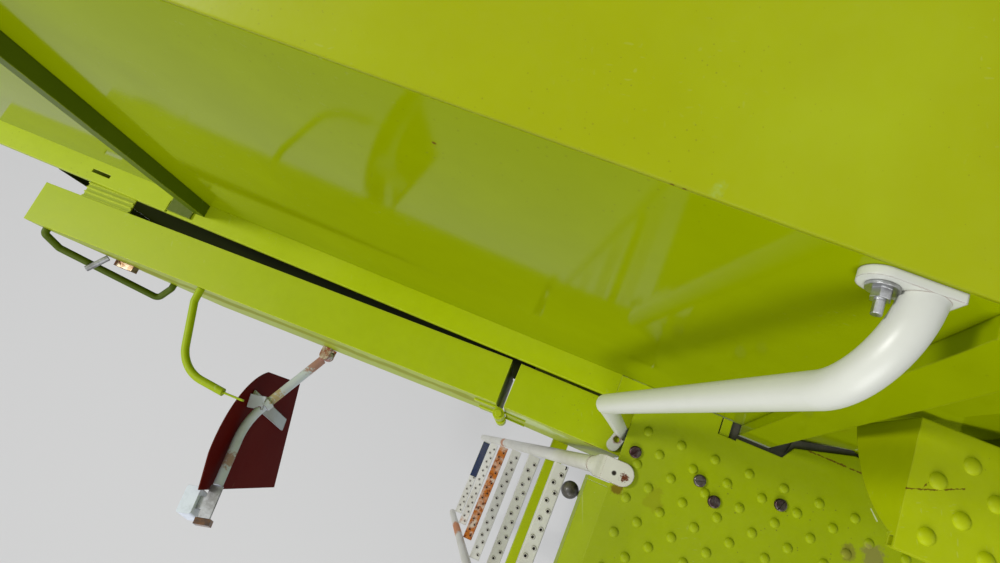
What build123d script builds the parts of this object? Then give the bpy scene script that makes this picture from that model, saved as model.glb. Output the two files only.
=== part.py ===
from build123d import *
import os
from math import atan2, cos, degrees, radians, sin

# Boarding platform, ladder and hinged side guard on the left side of a combine harvester's body.
# Millimetres. The origin is the centre of the four chassis bolts, on the back of the mounting pads.
# +X runs along the machine towards its rear, +Y goes into the machine, +Z is up.

os.makedirs("parts", exist_ok=True)

# Main planes
wall_y = -75.0            # outer face of the tank's side wall
deck_z = 250.0            # top of the deck and of the ledge
wall_height = 566.0       # from the ledge to the wall's top edge
body_front_x = -800.0     # cut end of the body's side towards the front
body_rear_x = 820.0       # cut end of the body's side towards the rear
sheet = 3.0               # body sheet
seat = 0.3                # gap between pieces that are bolted together
cutter_past = 1.0         # how far a cutter passes the skin that it opens
rear_y = -66.0            # outer face of the rear panel beside the corner strip
rear_inset = 16.0         # how far the rear panel turns inwards behind the step

# Tank wall, its corner and its shoulder
crease_top_x = 407.0
crease_bottom_x = 482.0
wall_foot_z = deck_z - 80.0
seam_x = 423.0
strip_out = 15.0
strip_run = 43.0
strip_return = 1.5
strip_short = 8.0
wall_lap = 20.0
panel_lap = 22.0
panel_bend_x = (530.0, 620.0)
shoulder_rise_deg = 23.0
shoulder_depth = 300.0
shoulder_flange = 30.0
seam_gap = 3.0
lower_side_z = -290.0

# Ledge under the wall
ledge_out = 35.0
ledge_lip = 12.0
ledge_leg = 40.0
ledge_end_x = 296.0
ledge_slot = (-584.0, -93.0)
slot_length = 34.0
slot_width = 6.0
notch_x = -452.0
notch_depth = 20.0
notch_width = 4.0
stiffener_x = (-800.0, -330.0)
stiffener_width = 20.0
stiffener_height = 30.0
stiffener_sheet = 2.0
post_size = 20.0
post_wall = 2.0
post_x = -400.0
post_tab_length = 42.0
post_tab_y = -107.0
post_top_z = deck_z + wall_height + 14.0

# Frame behind the wall
frame_tube = 60.0
frame_wall = 4.0
frame_y = wall_y + sheet + frame_tube / 2
beam_tube = 35.0
beam_y = rear_y + rear_inset + sheet + beam_tube / 2
frame_top_z = deck_z + wall_height - 60.0
frame_foot_z = lower_side_z
bolt_spacing_x = 700.0
bolt_spacing_z = 400.0
bolt_hole_r = 9.0
pad_width = 140.0
pad_height = 120.0
rear_post_x = 760.0
rail_inset = 60.0         # from a frame post's end to the nearest rail

# Deck
deck_left_x = 329.0
deck_lip_run = 27.0
deck_lip_drop = 25.0
deck_flange = 40.0
lip_end_y = -226.0
lip_bend = 1.2            # offset of the lip's inner line at its bends
lip_cut_width = deck_lip_run + cutter_past
lip_cut_x = deck_left_x - lip_cut_width / 2
lip_cut_past = 20.0
lip_notch_gap = 6.0       # room round the outer stringer where the lip is notched
deck_inner_y = wall_y - 1.0
deck_outer_y = -555.0
deck_corner_r = 22.0
deck_corner_y = -102.0
deck_slant_x = (352.0, 415.0)
deck_notch = (444.0, 470.0, -100.0)
deck_far_y = -57.0
deck_tab_x = (446.0, 459.0)
deck_edge = ((470.0, -97.0), (534.0, -97.0), (546.0, -79.0), (624.0, deck_far_y))
seal_drop = 3.0
seal_lap = 6.0
dome_r = 6.6
dome_height = 2.2
dome_pitch_x = 48.0
dome_row = 23.5
dome_first = (355.0, -135.0)
dome_rows = 18
dome_columns = 10
arm_tube = 50.0
front_arm_off = 15.0      # the front arm stands beside the bolts of its post
arm_end_back = 30.0       # the arms end this far inside the deck's outer edge
screw_head_r = 8.2
screw_height = 3.5
screw_places = ((347.0, -168.0), (439.5, -169.6), (465.0, -188.0), (547.6, -157.2))

# Upper step
step_z = deck_z + 328.0
step_front_x = 511.0
step_inner_y = -72.5
step_out = 111.0
step_rim = 11.0
step_rim_wall = 1.5
step_flange_deep = 106.0
step_flange_middle = (52.0, 72.0)
step_flange_shallow = 8.0
step_bracket_x = (600.0, 780.0)
step_bracket_reach = 92.0
step_bracket_deep = 90.0
step_domes = ((534.0, -120.0), (558.0, -97.0))
step_dome_rows = 2
step_dome_columns = 6
step_dome_r = 7.6

# Grab rail
rail_r = 12.3
rail_bend = 52.0
rail_flange = 6.0
rail_flange_x = (348.0, 386.0)
rail_flange_height = 25.0
rail_y = -135.2
rail_wall_x = 372.0
rail_wall_z = 803.0
rail_low_z = 340.0
rail_low_x = 278.2
rail_lean = 0.1805
rail_tab = (321.5, -160.0)
rail_tab_size = (36.0, 18.0)
rail_tab_turn = 71.0
rail_tab_thick = 5.0
rail_tab_hole = (321.0, -160.0)
rail_tab_hole_r = 4.5
rail_neck = (325.5, -149.5)
rail_neck_size = (15.0, 12.0)
rail_bolt_x = 350.0
rail_bolt_z = 802.0


def rail_run_x(z):
    """Centre line of the grab rail's straight run at a height."""
    return rail_low_x + (z - rail_low_z) * rail_lean


# Side guards, both hollow pans of folded sheet
guard_sheet = 2.0
guard_height = 250.0
guard_return = 18.0
long_top_z = deck_z - 22.0
long_rear = (143.0, -180.0)
long_front = (-678.0, -205.0)
long_depth = 68.0
short_x = (155.0, 336.0)
short_top_z = deck_z - 26.0
short_outer_y = -180.0
short_depth = 68.0
guard_gap = short_x[0] - long_rear[0]
guard_end_height = 34.0
guard_cut_length = 240.0
edge_strip = 3.0          # folded edge along the slanted cut
latch_at = (706.0, 116.0)
latch_size = (36.0, 16.0)
latch_out = 10.0
lock_pin_at = (731.0, 98.0)
lock_pin_r = 5.0
lock_pin_reach = (-20.0, -32.0, 8.0)
handle_feet = ((-808.0, -37.0), (-650.0, -178.0))
handle_foot = 8.0
handle_bar = ((-795.0, -20.0, -66.0), (-669.0, -33.0, -184.0))
handle_bends = (7.0, 8.0, 10.0, 7.0)
handle_r = 6.0
hook_z = -14.0
hook_points = ((-499.0, -22.0), (-465.0, -123.0), (-388.0, -131.0))
hook_bends = (10.0, 58.0)
hook_r = 6.0
hook_tab = (34.0, 3.0)
tray_x = (-755.0, -666.0)
tray_depth = 26.0
tray_top = -1.0
tray_ribs = 4
tray_rib = 2.5
barrel_spans = ((40.0, 46.0), (160.0, 46.0))
hinge_foot = 10.0
short_height = 250.0
hinge_pin_r = 5.0
pin_stand = 4.0           # the pins stand above the barrels
leaf = 3.0                # sheet of the hinge leaves
leaf_length = 40.0
leaf_middle = 22.0        # from the hinge pin to the middle of a leaf
hinge_barrel_r = 9.0
hinge_clear = 0.05

# Ladder
tread_count = 6
tread_pitch = 298.0
tread_first_z = -74.0
tread_first_x = 283.0
tread_slope = 44.9 / tread_pitch
tread_width = 28.0
tread_depth = 26.0
tread_sheet = 2.5
stringer_r = 12.0
stringer_inner_y = -203.0
stringer_outer_y = -532.0
stringer_lead = 19.0
stringer_below = 30.0
tongue = 6.0
tongue_width = 32.0
tongue_end_x = 356.0
tongue_foot_z = 230.0
stringer_round_z = 204.0
carrier_size = 33.0
carrier_past = 12.0
foot_plate_y = (-218.0, -366.0)
foot_plate_sheet = 2.5
lever_x = 303.0
lever_y = -250.0
lever_z = 28.0
lever_reach = 97.0
lever_bend = 18.0
lever_r = 6.0
knob_r = 15.0

# Marker arm
marker_root = (-200.0, -206.0, -6.0)
arm_r = 8.0
arm_points = ((-204.0, -216.0, -6.0), (-259.0, -364.0, 48.0), (-233.0, -468.0, 88.0))
arm_bend = 120.0
board_inner = (-284.5, -275.0)
board_outer = (-244.5, -479.0)
board_low_z = (-174.0, -203.0)
board_low_run = 216.0
board_inner_z = -4.0
board_arc_middle = (72.0, 96.0)
board_arc_end = (150.0, 125.0)
board_outer_z = 119.0
board_sheet = 2.0
clamp_share = 0.74
clamp_band = 3.0
clamp_length = 12.0
strap_size = (24.0, 190.0)
strap_turn = 12.0
strap_low_z = -150.0
lamp_plate = (52.0, 20.0, 4.0)
lamp_reach = 9.0
lamp_size = (44.0, 24.0, 44.0)
lamp_corner = 4.0
lamp_rise = 10.0
lens_size = (10.0, 26.0, 12.0)


def keep(piece, name):
    """Label a finished piece and write it to its own file."""
    piece.part.label = name
    export_step(piece.part, f"parts/{name}.step")


def bar_x(x0, x1, y, z, size, wall):
    """Square tube along X, its centre line at y, z."""
    with BuildPart() as bar:
        with BuildSketch(Plane(origin=(x0, y, z), x_dir=(0, 1, 0), z_dir=(1, 0, 0))):
            Rectangle(size, size)
            Rectangle(size - 2 * wall, size - 2 * wall, mode=Mode.SUBTRACT)
        extrude(amount=x1 - x0)
    return bar


def bar_y(x, y0, y1, z, size, wall):
    """Square tube along Y, its centre line at x, z."""
    with BuildPart() as bar:
        with BuildSketch(Plane(origin=(x, y0, z), x_dir=(1, 0, 0), z_dir=(0, 1, 0))):
            Rectangle(size, size)
            Rectangle(size - 2 * wall, size - 2 * wall, mode=Mode.SUBTRACT)
        extrude(amount=y1 - y0)
    return bar


def bar_z(x, y, z0, z1, size, wall):
    """Square tube along Z, its centre line at x, y."""
    with BuildPart() as bar:
        with BuildSketch(Plane.XY.offset(z0)):
            with Locations((x, y)):
                Rectangle(size, size)
                Rectangle(size - 2 * wall, size - 2 * wall, mode=Mode.SUBTRACT)
        extrude(amount=z1 - z0)
    return bar


def bent_tube(points, bends, outer_r, wall):
    """Round tube along straight runs joined by arcs."""
    with BuildPart() as tube:
        with BuildLine() as path:
            if len(points) > 2:
                FilletPolyline(*points, radius=bends)
            else:
                Line(*points)
        with BuildSketch(Plane(origin=path.line @ 0, z_dir=path.line % 0)):
            Circle(outer_r)
            if wall:
                Circle(outer_r - wall, mode=Mode.SUBTRACT)
        sweep(path=path.line)
    return tube


def rear_face_y(x):
    """Outer face of the rear panel at a place along the machine."""
    share = (x - panel_bend_x[0]) / (panel_bend_x[1] - panel_bend_x[0])
    return rear_y + rear_inset * min(max(share, 0.0), 1.0)


# Tank side wall: one sheet whose rear edge leans forwards and ends behind the corner strip
wall_top_z = deck_z + wall_height
wall_notch_x = ledge_end_x + 8.0
with BuildPart() as side_wall:
    with BuildSketch(Plane.XZ.offset(-wall_y)):
        with BuildLine():
            Polyline(
                (body_front_x, deck_z),
                (body_front_x, wall_top_z),
                (crease_top_x + wall_lap, wall_top_z),
                (crease_bottom_x + wall_lap, wall_foot_z),
                (wall_notch_x, wall_foot_z),
                (wall_notch_x, deck_z),
                close=True,
            )
        make_face()
    extrude(amount=-sheet)
keep(side_wall, "side_wall")

# Shoulder panels above the wall, rising inwards
shoulder_dir = (cos(radians(shoulder_rise_deg)), sin(radians(shoulder_rise_deg)))


def shoulder(x0, x1, lap_y):
    """Sloping sheet with a lap turned down behind its lower edge and a turned-down inner edge."""
    top_y = wall_y + shoulder_depth * shoulder_dir[0]
    top_z = wall_top_z + shoulder_depth * shoulder_dir[1]
    with BuildPart() as panel:
        with BuildSketch(Plane(origin=(x0, 0, 0), x_dir=(0, 1, 0), z_dir=(1, 0, 0))):
            with BuildLine():
                Polyline(
                    (wall_y, wall_top_z + seat),
                    (wall_y, wall_top_z + sheet),
                    (top_y, top_z + sheet),
                    (top_y, top_z - shoulder_flange),
                    (top_y - sheet, top_z - shoulder_flange),
                    (top_y - sheet, top_z - sheet * shoulder_dir[1]),
                    (lap_y + sheet, wall_top_z + sheet * shoulder_dir[0]),
                    (lap_y + sheet, wall_top_z - shoulder_flange),
                    (lap_y, wall_top_z - shoulder_flange),
                    (lap_y, wall_top_z + seat),
                    close=True,
                )
            make_face()
        extrude(amount=x1 - x0)
    return panel


keep(shoulder(body_front_x, seam_x, wall_y + sheet + seat), "shoulder_panel")
keep(shoulder(seam_x + seam_gap, body_rear_x, rear_y - seat - sheet), "rear_shoulder")

# Corner strip: a raised trim along the wall's leaning rear edge, with a leg on the wall and a far return
crease_tilt = Vector(crease_top_x - crease_bottom_x, 0, wall_top_z - wall_foot_z)
corner_foot = Vector(crease_bottom_x, wall_y, wall_foot_z)
with BuildPart() as corner_strip:
    with BuildSketch(Plane(origin=corner_foot, x_dir=(0, 1, 0), z_dir=crease_tilt)):
        with BuildLine():
            Polyline(
                (-seat, 0),
                (-strip_out, 0),
                (-strip_out, -strip_run),
                (strip_return, -strip_run),
                (strip_return, -strip_run + sheet),
                (-strip_out + sheet, -strip_run + sheet),
                (-strip_out + sheet, -sheet),
                (-seat, -sheet),
                close=True,
            )
        make_face()
    extrude(amount=crease_tilt.length - strip_short)
keep(corner_strip, "corner_strip")

# Rear panel: begins behind the strip and turns inwards behind the step
with BuildPart() as rear_panel:
    with BuildSketch(Plane.XY.offset(wall_foot_z)):
        with BuildLine():
            Polyline(
                (crease_top_x, rear_y),
                (panel_bend_x[0], rear_y),
                (panel_bend_x[1], rear_y + rear_inset),
                (body_rear_x, rear_y + rear_inset),
                (body_rear_x, rear_y + rear_inset + sheet),
                (panel_bend_x[1], rear_y + rear_inset + sheet),
                (panel_bend_x[0], rear_y + sheet),
                (crease_top_x, rear_y + sheet),
                close=True,
            )
        make_face()
    extrude(amount=wall_height + deck_z - wall_foot_z)
    with BuildSketch(Plane.XZ.offset(-wall_y)):
        with BuildLine():
            Polyline(
                (crease_top_x - wall_lap, wall_foot_z - sheet),
                (crease_bottom_x + panel_lap, wall_foot_z - sheet),
                (crease_bottom_x + panel_lap, wall_foot_z),
                (crease_top_x + panel_lap, wall_top_z),
                (crease_top_x + panel_lap, wall_top_z + sheet),
                (crease_top_x - wall_lap, wall_top_z + sheet),
                close=True,
            )
        make_face()
    extrude(amount=wall_y, mode=Mode.SUBTRACT)
keep(rear_panel, "rear_panel")

# Lower side under the ledge and the wall
with BuildPart() as lower_side:
    with BuildSketch(Plane.XZ.offset(-wall_y)):
        with BuildLine():
            Polyline(
                (body_front_x, lower_side_z),
                (body_rear_x, lower_side_z),
                (body_rear_x, wall_foot_z - seat),
                (wall_notch_x - seat, wall_foot_z - seat),
                (wall_notch_x - seat, deck_z - ledge_leg - seat),
                (body_front_x, deck_z - ledge_leg - seat),
                close=True,
            )
        make_face()
    extrude(amount=seat - sheet)
keep(lower_side, "lower_side")

# Ledge: outer lip, flat and a leg behind the foot of the wall, with its slots
with BuildPart() as ledge:
    with BuildSketch(Plane(origin=(body_front_x, 0, 0), x_dir=(0, 1, 0), z_dir=(1, 0, 0))):
        with BuildLine():
            Polyline(
                (wall_y - ledge_out, deck_z - ledge_lip),
                (wall_y - ledge_out, deck_z),
                (wall_y + sheet, deck_z),
                (wall_y + sheet, deck_z - ledge_leg),
                (wall_y, deck_z - ledge_leg),
                (wall_y, deck_z - sheet),
                (wall_y - ledge_out + sheet, deck_z - sheet),
                (wall_y - ledge_out + sheet, deck_z - ledge_lip),
                close=True,
            )
        make_face()
    extrude(amount=ledge_end_x - body_front_x)
    with Locations((ledge_slot[0], ledge_slot[1], deck_z)):
        Box(slot_length, slot_width, 4 * sheet, mode=Mode.SUBTRACT)
    with Locations((notch_x, wall_y - ledge_out + notch_depth / 2 - cutter_past, deck_z)):
        Box(notch_width, notch_depth + 2 * cutter_past, 4 * sheet, mode=Mode.SUBTRACT)
keep(ledge, "ledge")

stiffener_top = deck_z - ledge_leg - stiffener_sheet
stiffener_y = wall_y - seat
with BuildPart() as ledge_stiffener:
    with BuildSketch(Plane(origin=(stiffener_x[0], 0, 0), x_dir=(0, 1, 0), z_dir=(1, 0, 0))):
        with BuildLine():
            Polyline(
                (stiffener_y - stiffener_width, stiffener_top),
                (stiffener_y, stiffener_top),
                (stiffener_y, stiffener_top - stiffener_height),
                (stiffener_y - stiffener_width, stiffener_top - stiffener_height),
                (stiffener_y - stiffener_width, stiffener_top - stiffener_height + stiffener_sheet),
                (stiffener_y - stiffener_sheet, stiffener_top - stiffener_height + stiffener_sheet),
                (stiffener_y - stiffener_sheet, stiffener_top - stiffener_sheet),
                (stiffener_y - stiffener_width, stiffener_top - stiffener_sheet),
                close=True,
            )
        make_face()
    extrude(amount=stiffener_x[1] - stiffener_x[0])
keep(ledge_stiffener, "ledge_stiffener")

with BuildPart() as ledge_post:
    add(bar_z(post_x, wall_y - post_size / 2, deck_z + seat, post_top_z, post_size, post_wall).part)
    with BuildSketch(Plane.XY.offset(deck_z + seat)):
        with Locations((post_x - (post_size + post_tab_length) / 2 + post_wall, (post_tab_y + wall_y - post_size / 2) / 2)):
            Rectangle(post_tab_length, wall_y - post_size / 2 - post_tab_y)
    extrude(amount=sheet)
keep(ledge_post, "ledge_post")

# Frame behind the wall: posts, rails and the mounting pads
post_places = (
    ("front_post", -bolt_spacing_x / 2, frame_y, frame_tube),
    ("middle_post", bolt_spacing_x / 2, frame_y, frame_tube),
    ("rear_post", rear_post_x, beam_y, beam_tube),
)
for name, x, y, tube in post_places:
    keep(bar_z(x, y, frame_foot_z, frame_top_z, tube, frame_wall), name)

bracket_z = deck_z - 90.0
rail_rows = (("top_rail", frame_top_z - rail_inset), ("deck_rail", bracket_z), ("lower_rail", frame_foot_z + rail_inset))
half = frame_tube / 2
rail_spans = (
    (body_front_x, -bolt_spacing_x / 2 - half),
    (-bolt_spacing_x / 2 + half, bolt_spacing_x / 2 - half),
    (bolt_spacing_x / 2 + half, rear_post_x - beam_tube / 2),
)
for name, z in rail_rows:
    with BuildPart() as rail:
        for x0, x1 in rail_spans:
            add(bar_x(x0, x1, beam_y, z, beam_tube, frame_wall).part)
    keep(rail, name)

with BuildPart() as mounting_pads:
    with BuildSketch(Plane.XZ):
        with GridLocations(bolt_spacing_x, bolt_spacing_z, 2, 2):
            Rectangle(pad_width, pad_height)
            Circle(bolt_hole_r, mode=Mode.SUBTRACT)
    extrude(amount=-frame_y - half)
keep(mounting_pads, "mounting_pads")

# Deck plate with its turned-down left lip
with BuildPart() as deck_plate:
    with BuildSketch(Plane(origin=(0, deck_outer_y, 0), x_dir=(1, 0, 0), z_dir=(0, 1, 0))):
        with BuildLine():
            Polyline(
                (deck_left_x, -deck_z),
                (body_rear_x, -deck_z),
                (body_rear_x, -deck_z + sheet),
                (deck_left_x + lip_bend, -deck_z + sheet),
                (deck_left_x - deck_lip_run + sheet, -deck_z + deck_lip_drop + lip_bend),
                (deck_left_x - deck_lip_run + sheet, -deck_z + deck_lip_drop + deck_flange),
                (deck_left_x - deck_lip_run, -deck_z + deck_lip_drop + deck_flange),
                (deck_left_x - deck_lip_run, -deck_z + deck_lip_drop),
                close=True,
            )
        make_face()
    extrude(amount=deck_far_y - deck_outer_y)
    with BuildSketch(Plane.XY.offset(deck_z + cutter_past)):
        with Locations((lip_cut_x, (lip_end_y + deck_inner_y + lip_cut_past) / 2)):
            Rectangle(lip_cut_width, deck_inner_y - lip_end_y + lip_cut_past)
        with Locations((lip_cut_x, stringer_outer_y)):
            Rectangle(lip_cut_width, 2 * (stringer_r + lip_notch_gap))
    extrude(amount=-deck_lip_drop - deck_flange - 2 * cutter_past, mode=Mode.SUBTRACT)
    with BuildSketch(Plane.XY.offset(deck_z + cutter_past)):
        with BuildLine():
            Polyline(
                (deck_left_x - deck_lip_run - sheet, deck_far_y + sheet),
                (deck_left_x - deck_lip_run - sheet, deck_corner_y),
                (deck_slant_x[0], deck_corner_y),
                (deck_slant_x[1], deck_inner_y),
                (deck_notch[0], deck_inner_y),
                (deck_notch[0], deck_notch[2]),
                (deck_notch[1], deck_notch[2]),
                *deck_edge,
                (deck_edge[-1][0], deck_far_y + sheet),
                close=True,
            )
        make_face()
        with Locations((deck_left_x + deck_corner_r / 2, deck_corner_y - deck_corner_r / 2)):
            Rectangle(deck_corner_r, deck_corner_r)
        with Locations((deck_left_x + deck_corner_r, deck_corner_y - deck_corner_r)):
            Circle(deck_corner_r, mode=Mode.SUBTRACT)
    extrude(amount=-deck_lip_drop, mode=Mode.SUBTRACT)
    with BuildSketch(Plane.XY.offset(deck_z - sheet)):
        with Locations(((deck_tab_x[0] + deck_tab_x[1]) / 2, (deck_inner_y + deck_notch[2]) / 2 - sheet / 2)):
            Rectangle(deck_tab_x[1] - deck_tab_x[0], deck_inner_y - deck_notch[2] + sheet)
    extrude(amount=sheet / 2)
    with BuildSketch(Plane.XY.offset(deck_z)):
        for row in range(dome_rows):
            shift = dome_pitch_x / 2 * (row % 2)
            for column in range(dome_columns):
                with Locations((dome_first[0] + shift + column * dome_pitch_x, dome_first[1] - row * dome_row)):
                    RegularPolygon(dome_r, 6)
    extrude(amount=dome_height, taper=45)
keep(deck_plate, "deck_plate")

# Dark seal strip in the gap between the deck's rear inner edge and the rear panel
with BuildPart() as deck_seal:
    with BuildSketch(Plane.XY.offset(deck_z - sheet - seat)):
        with BuildLine():
            Polyline(
                (deck_edge[1][0], deck_edge[1][1] - seal_lap),
                (deck_edge[2][0] + seal_lap / 2, deck_edge[2][1] - seal_lap),
                (deck_edge[3][0], deck_edge[3][1] - seal_lap),
                (deck_edge[3][0], rear_y + rear_inset - seat),
                (panel_bend_x[1], rear_y + rear_inset - seat),
                (deck_edge[2][0] - seal_lap / 2, deck_edge[2][1] + 2 * seal_lap),
                close=True,
            )
        make_face()
    extrude(amount=-seal_drop)
keep(deck_seal, "deck_seal")

arm_places = (
    ("front_deck_arm", bolt_spacing_x / 2 + front_arm_off, wall_y),
    ("rear_deck_arm", rear_post_x, rear_y + rear_inset),
)
for name, x, y in arm_places:
    arm = bar_y(x, deck_outer_y + arm_end_back, y, deck_z - sheet - arm_tube / 2, arm_tube, sheet)
    keep(arm, name)

with BuildPart() as deck_screws:
    for x, y in screw_places:
        with BuildSketch(Plane.XY.offset(deck_z)):
            with Locations((x, y)):
                Circle(screw_head_r)
        extrude(amount=screw_height)
keep(deck_screws, "deck_screws")

# Upper step with its curved front flange and a hollow rim along its outer edge, on two brackets
step_outer_y = wall_y - step_out
with BuildPart() as upper_step:
    with BuildSketch(Plane.XY.offset(step_z - sheet)):
        with Locations(((step_front_x + body_rear_x) / 2, (step_inner_y + step_outer_y) / 2)):
            Rectangle(body_rear_x - step_front_x, step_inner_y - step_outer_y)
    extrude(amount=sheet)
    with BuildSketch(Plane(origin=(step_front_x, wall_y, step_z), x_dir=(0, -1, 0), z_dir=(1, 0, 0))):
        with BuildLine():
            Line((wall_y - step_inner_y, step_flange_deep), (wall_y - step_inner_y, 0))
            Line((wall_y - step_inner_y, 0), (step_out - step_rim, 0))
            Line((step_out - step_rim, 0), (step_out - step_rim, step_flange_shallow))
            ThreePointArc(
                (step_out - step_rim, step_flange_shallow),
                step_flange_middle,
                (wall_y - step_inner_y, step_flange_deep),
            )
        make_face()
    extrude(amount=sheet)
    add(bar_x(
        step_front_x, body_rear_x, step_outer_y + step_rim / 2, step_z - step_rim / 2, step_rim, step_rim_wall
    ).part)
    with BuildSketch(Plane.XY.offset(step_z)):
        for x, y in step_domes:
            for row in range(step_dome_rows):
                for column in range(step_dome_columns):
                    with Locations((x + column * dome_pitch_x, y - row * 2 * dome_row)):
                        RegularPolygon(step_dome_r, 6)
    extrude(amount=dome_height, taper=45)
keep(upper_step, "upper_step")

with BuildPart() as step_brackets:
    for x in step_bracket_x:
        with BuildSketch(Plane(origin=(x, 0, 0), x_dir=(0, 1, 0), z_dir=(1, 0, 0))):
            with BuildLine():
                Polyline(
                    (rear_face_y(x), step_z - sheet),
                    (wall_y - step_bracket_reach, step_z - sheet),
                    (wall_y - step_bracket_reach, step_z - sheet - step_rim),
                    (rear_face_y(x), step_z - sheet - step_bracket_deep),
                    close=True,
                )
            make_face()
        extrude(amount=2 * sheet)
keep(step_brackets, "step_brackets")

# Grab rail: a tube from a flange on the wall down to a flattened neck and a tab on the short guard
rail_top = (rail_wall_x, wall_y - rail_flange / 2, rail_wall_z)
rail_corner = (rail_run_x(rail_wall_z), rail_y, rail_wall_z)
rail_low = (rail_low_x, rail_y, rail_low_z)
rail_round = rail_flange_height / 2
with BuildPart() as grab_rail:
    add(bent_tube((rail_top, rail_corner, rail_low), (rail_bend,), rail_r, 0).part)
    with BuildSketch(Plane.XZ.offset(seat - wall_y)):
        with Locations(((rail_flange_x[0] + rail_flange_x[1]) / 2, rail_wall_z)):
            Rectangle(rail_flange_x[1] - rail_flange_x[0], rail_flange_height)
        with Locations((rail_flange_x[0], rail_wall_z)):
            Circle(rail_round)
    extrude(amount=rail_flange)
    with BuildSketch(Plane.XY.offset(rail_low_z + rail_r / 4)):
        with Locations((rail_run_x(rail_low_z + rail_r / 4), rail_y)):
            Circle(rail_r - seat)
    with BuildSketch(Plane.XY.offset(short_top_z + seat + rail_tab_thick)):
        with Locations(Location((rail_neck[0], rail_neck[1], 0), (0, 0, rail_tab_turn))):
            Rectangle(*rail_neck_size)
    loft()
    with BuildSketch(Plane.XY.offset(short_top_z + seat)):
        with Locations(Location((rail_tab[0], rail_tab[1], 0), (0, 0, rail_tab_turn))):
            SlotOverall(*rail_tab_size)
        with Locations(rail_tab_hole):
            Circle(rail_tab_hole_r, mode=Mode.SUBTRACT)
    extrude(amount=rail_tab_thick)
keep(grab_rail, "grab_rail")

# Bolt through the rail's flange: washer, nut and the end of the stud
rail_bolt_steps = ((9.0, 2.0, 24), (5.6, 8.0, 6), (3.0, 17.0, 12))
with BuildPart() as rail_bolt:
    for r, out, sides in rail_bolt_steps:
        with BuildSketch(Plane.XZ.offset(rail_flange + 2 * seat - wall_y)):
            with Locations((rail_bolt_x, rail_bolt_z)):
                RegularPolygon(r, sides)
        extrude(amount=out)
keep(rail_bolt, "rail_bolt")


def pan(length, depth, height):
    """Hollow guard of folded sheet, open at the back: outer face on y = 0, rear end on x = 0."""
    with BuildPart() as box:
        with BuildSketch(Plane.XY.offset(-height)):
            with Locations((-length / 2, depth / 2)):
                Rectangle(length, depth)
        extrude(amount=height)
        with BuildSketch(Plane.XY.offset(-height + guard_sheet)):
            with Locations((-length / 2, depth / 2)):
                Rectangle(length - 2 * guard_sheet, depth - 2 * guard_sheet)
        extrude(amount=height - 2 * guard_sheet, mode=Mode.SUBTRACT)
        with BuildSketch(Plane.XZ.offset(-depth - cutter_past)):
            with Locations((-length / 2, -height / 2)):
                Rectangle(length - 2 * guard_return, height - 2 * guard_return)
        extrude(amount=guard_sheet + 2 * cutter_past, mode=Mode.SUBTRACT)
    return box


# The long guard stands a little ajar. It and what it carries are drawn shut, with the rear
# top corner of its outer face as origin, and then turned and placed together.
long_length = long_rear[0] - long_front[0]
ajar_deg = degrees(atan2(long_rear[1] - long_front[1], long_length))


def on_guard(piece):
    """Turn a piece drawn beside the shut guard and put it in its place."""
    piece.part = piece.part.rotate(Axis.Z, ajar_deg).translate((long_rear[0], long_rear[1], long_top_z))
    return piece


def from_guard(x, y, z):
    """Where a point of the guard's own drawing lies on the machine."""
    a = radians(ajar_deg)
    return (
        long_rear[0] + x * cos(a) - y * sin(a),
        long_rear[1] + x * sin(a) + y * cos(a),
        long_top_z + z,
    )


with BuildPart() as long_guard:
    add(pan(long_length, long_depth, guard_height).part)
    with BuildSketch(Plane.XZ.offset(cutter_past)):
        with BuildLine():
            Polyline(
                (-long_length - cutter_past, -guard_end_height),
                (-long_length - cutter_past, -guard_height - cutter_past),
                (-long_length + guard_cut_length, -guard_height - cutter_past),
                close=True,
            )
        make_face()
    extrude(amount=-long_depth - 2 * cutter_past, mode=Mode.SUBTRACT)
    with BuildSketch(Plane.XZ):
        with BuildLine():
            Polyline(
                (-long_length, -guard_end_height),
                (-long_length + guard_cut_length, -guard_height),
                (-long_length + guard_cut_length + edge_strip, -guard_height),
                (-long_length, -guard_end_height + edge_strip),
                close=True,
            )
        make_face()
    extrude(amount=-long_depth)
keep(on_guard(long_guard), "long_guard")

with BuildPart() as short_guard:
    add(pan(short_x[1] - short_x[0], short_depth, short_height).part)
short_guard.part = short_guard.part.translate((short_x[1], short_outer_y, short_top_z))
keep(short_guard, "short_guard")

# Bracket that carries the short guard from the lower side
bracket_side = guard_return + guard_sheet
with BuildPart() as guard_bracket:
    with BuildSketch(Plane.XY.offset(bracket_z - sheet)):
        with BuildLine():
            Polyline(
                (short_x[0] + bracket_side, short_outer_y + guard_sheet),
                (short_x[1] - bracket_side, short_outer_y + guard_sheet),
                (short_x[1] - bracket_side, wall_y - seat),
                (short_x[0] + bracket_side, wall_y - seat),
                close=True,
            )
        make_face()
    extrude(amount=2 * sheet)
keep(guard_bracket, "guard_bracket")

# Hinge: barrels on the long guard, pins and leaves on the short one, the axis outside both faces
hinge_local = (guard_gap / 2, -hinge_barrel_r - seat)
hinge_x, hinge_y, _ = from_guard(hinge_local[0], hinge_local[1], 0)
with BuildPart() as hinge_pins:
    for drop, length in barrel_spans:
        foot = short_top_z - drop - length
        with BuildSketch(Plane.XY.offset(foot - seat - hinge_foot)):
            with Locations((hinge_x, hinge_y)):
                Circle(hinge_barrel_r)
            with Locations((hinge_x + leaf_middle, short_outer_y - leaf / 2)):
                Rectangle(leaf_length, leaf)
        extrude(amount=hinge_foot)
        with BuildSketch(Plane.XY.offset(foot - seat - hinge_foot)):
            with Locations((hinge_x, hinge_y)):
                Circle(hinge_pin_r)
        extrude(amount=length + hinge_foot + pin_stand)
keep(hinge_pins, "hinge_pins")

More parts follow.
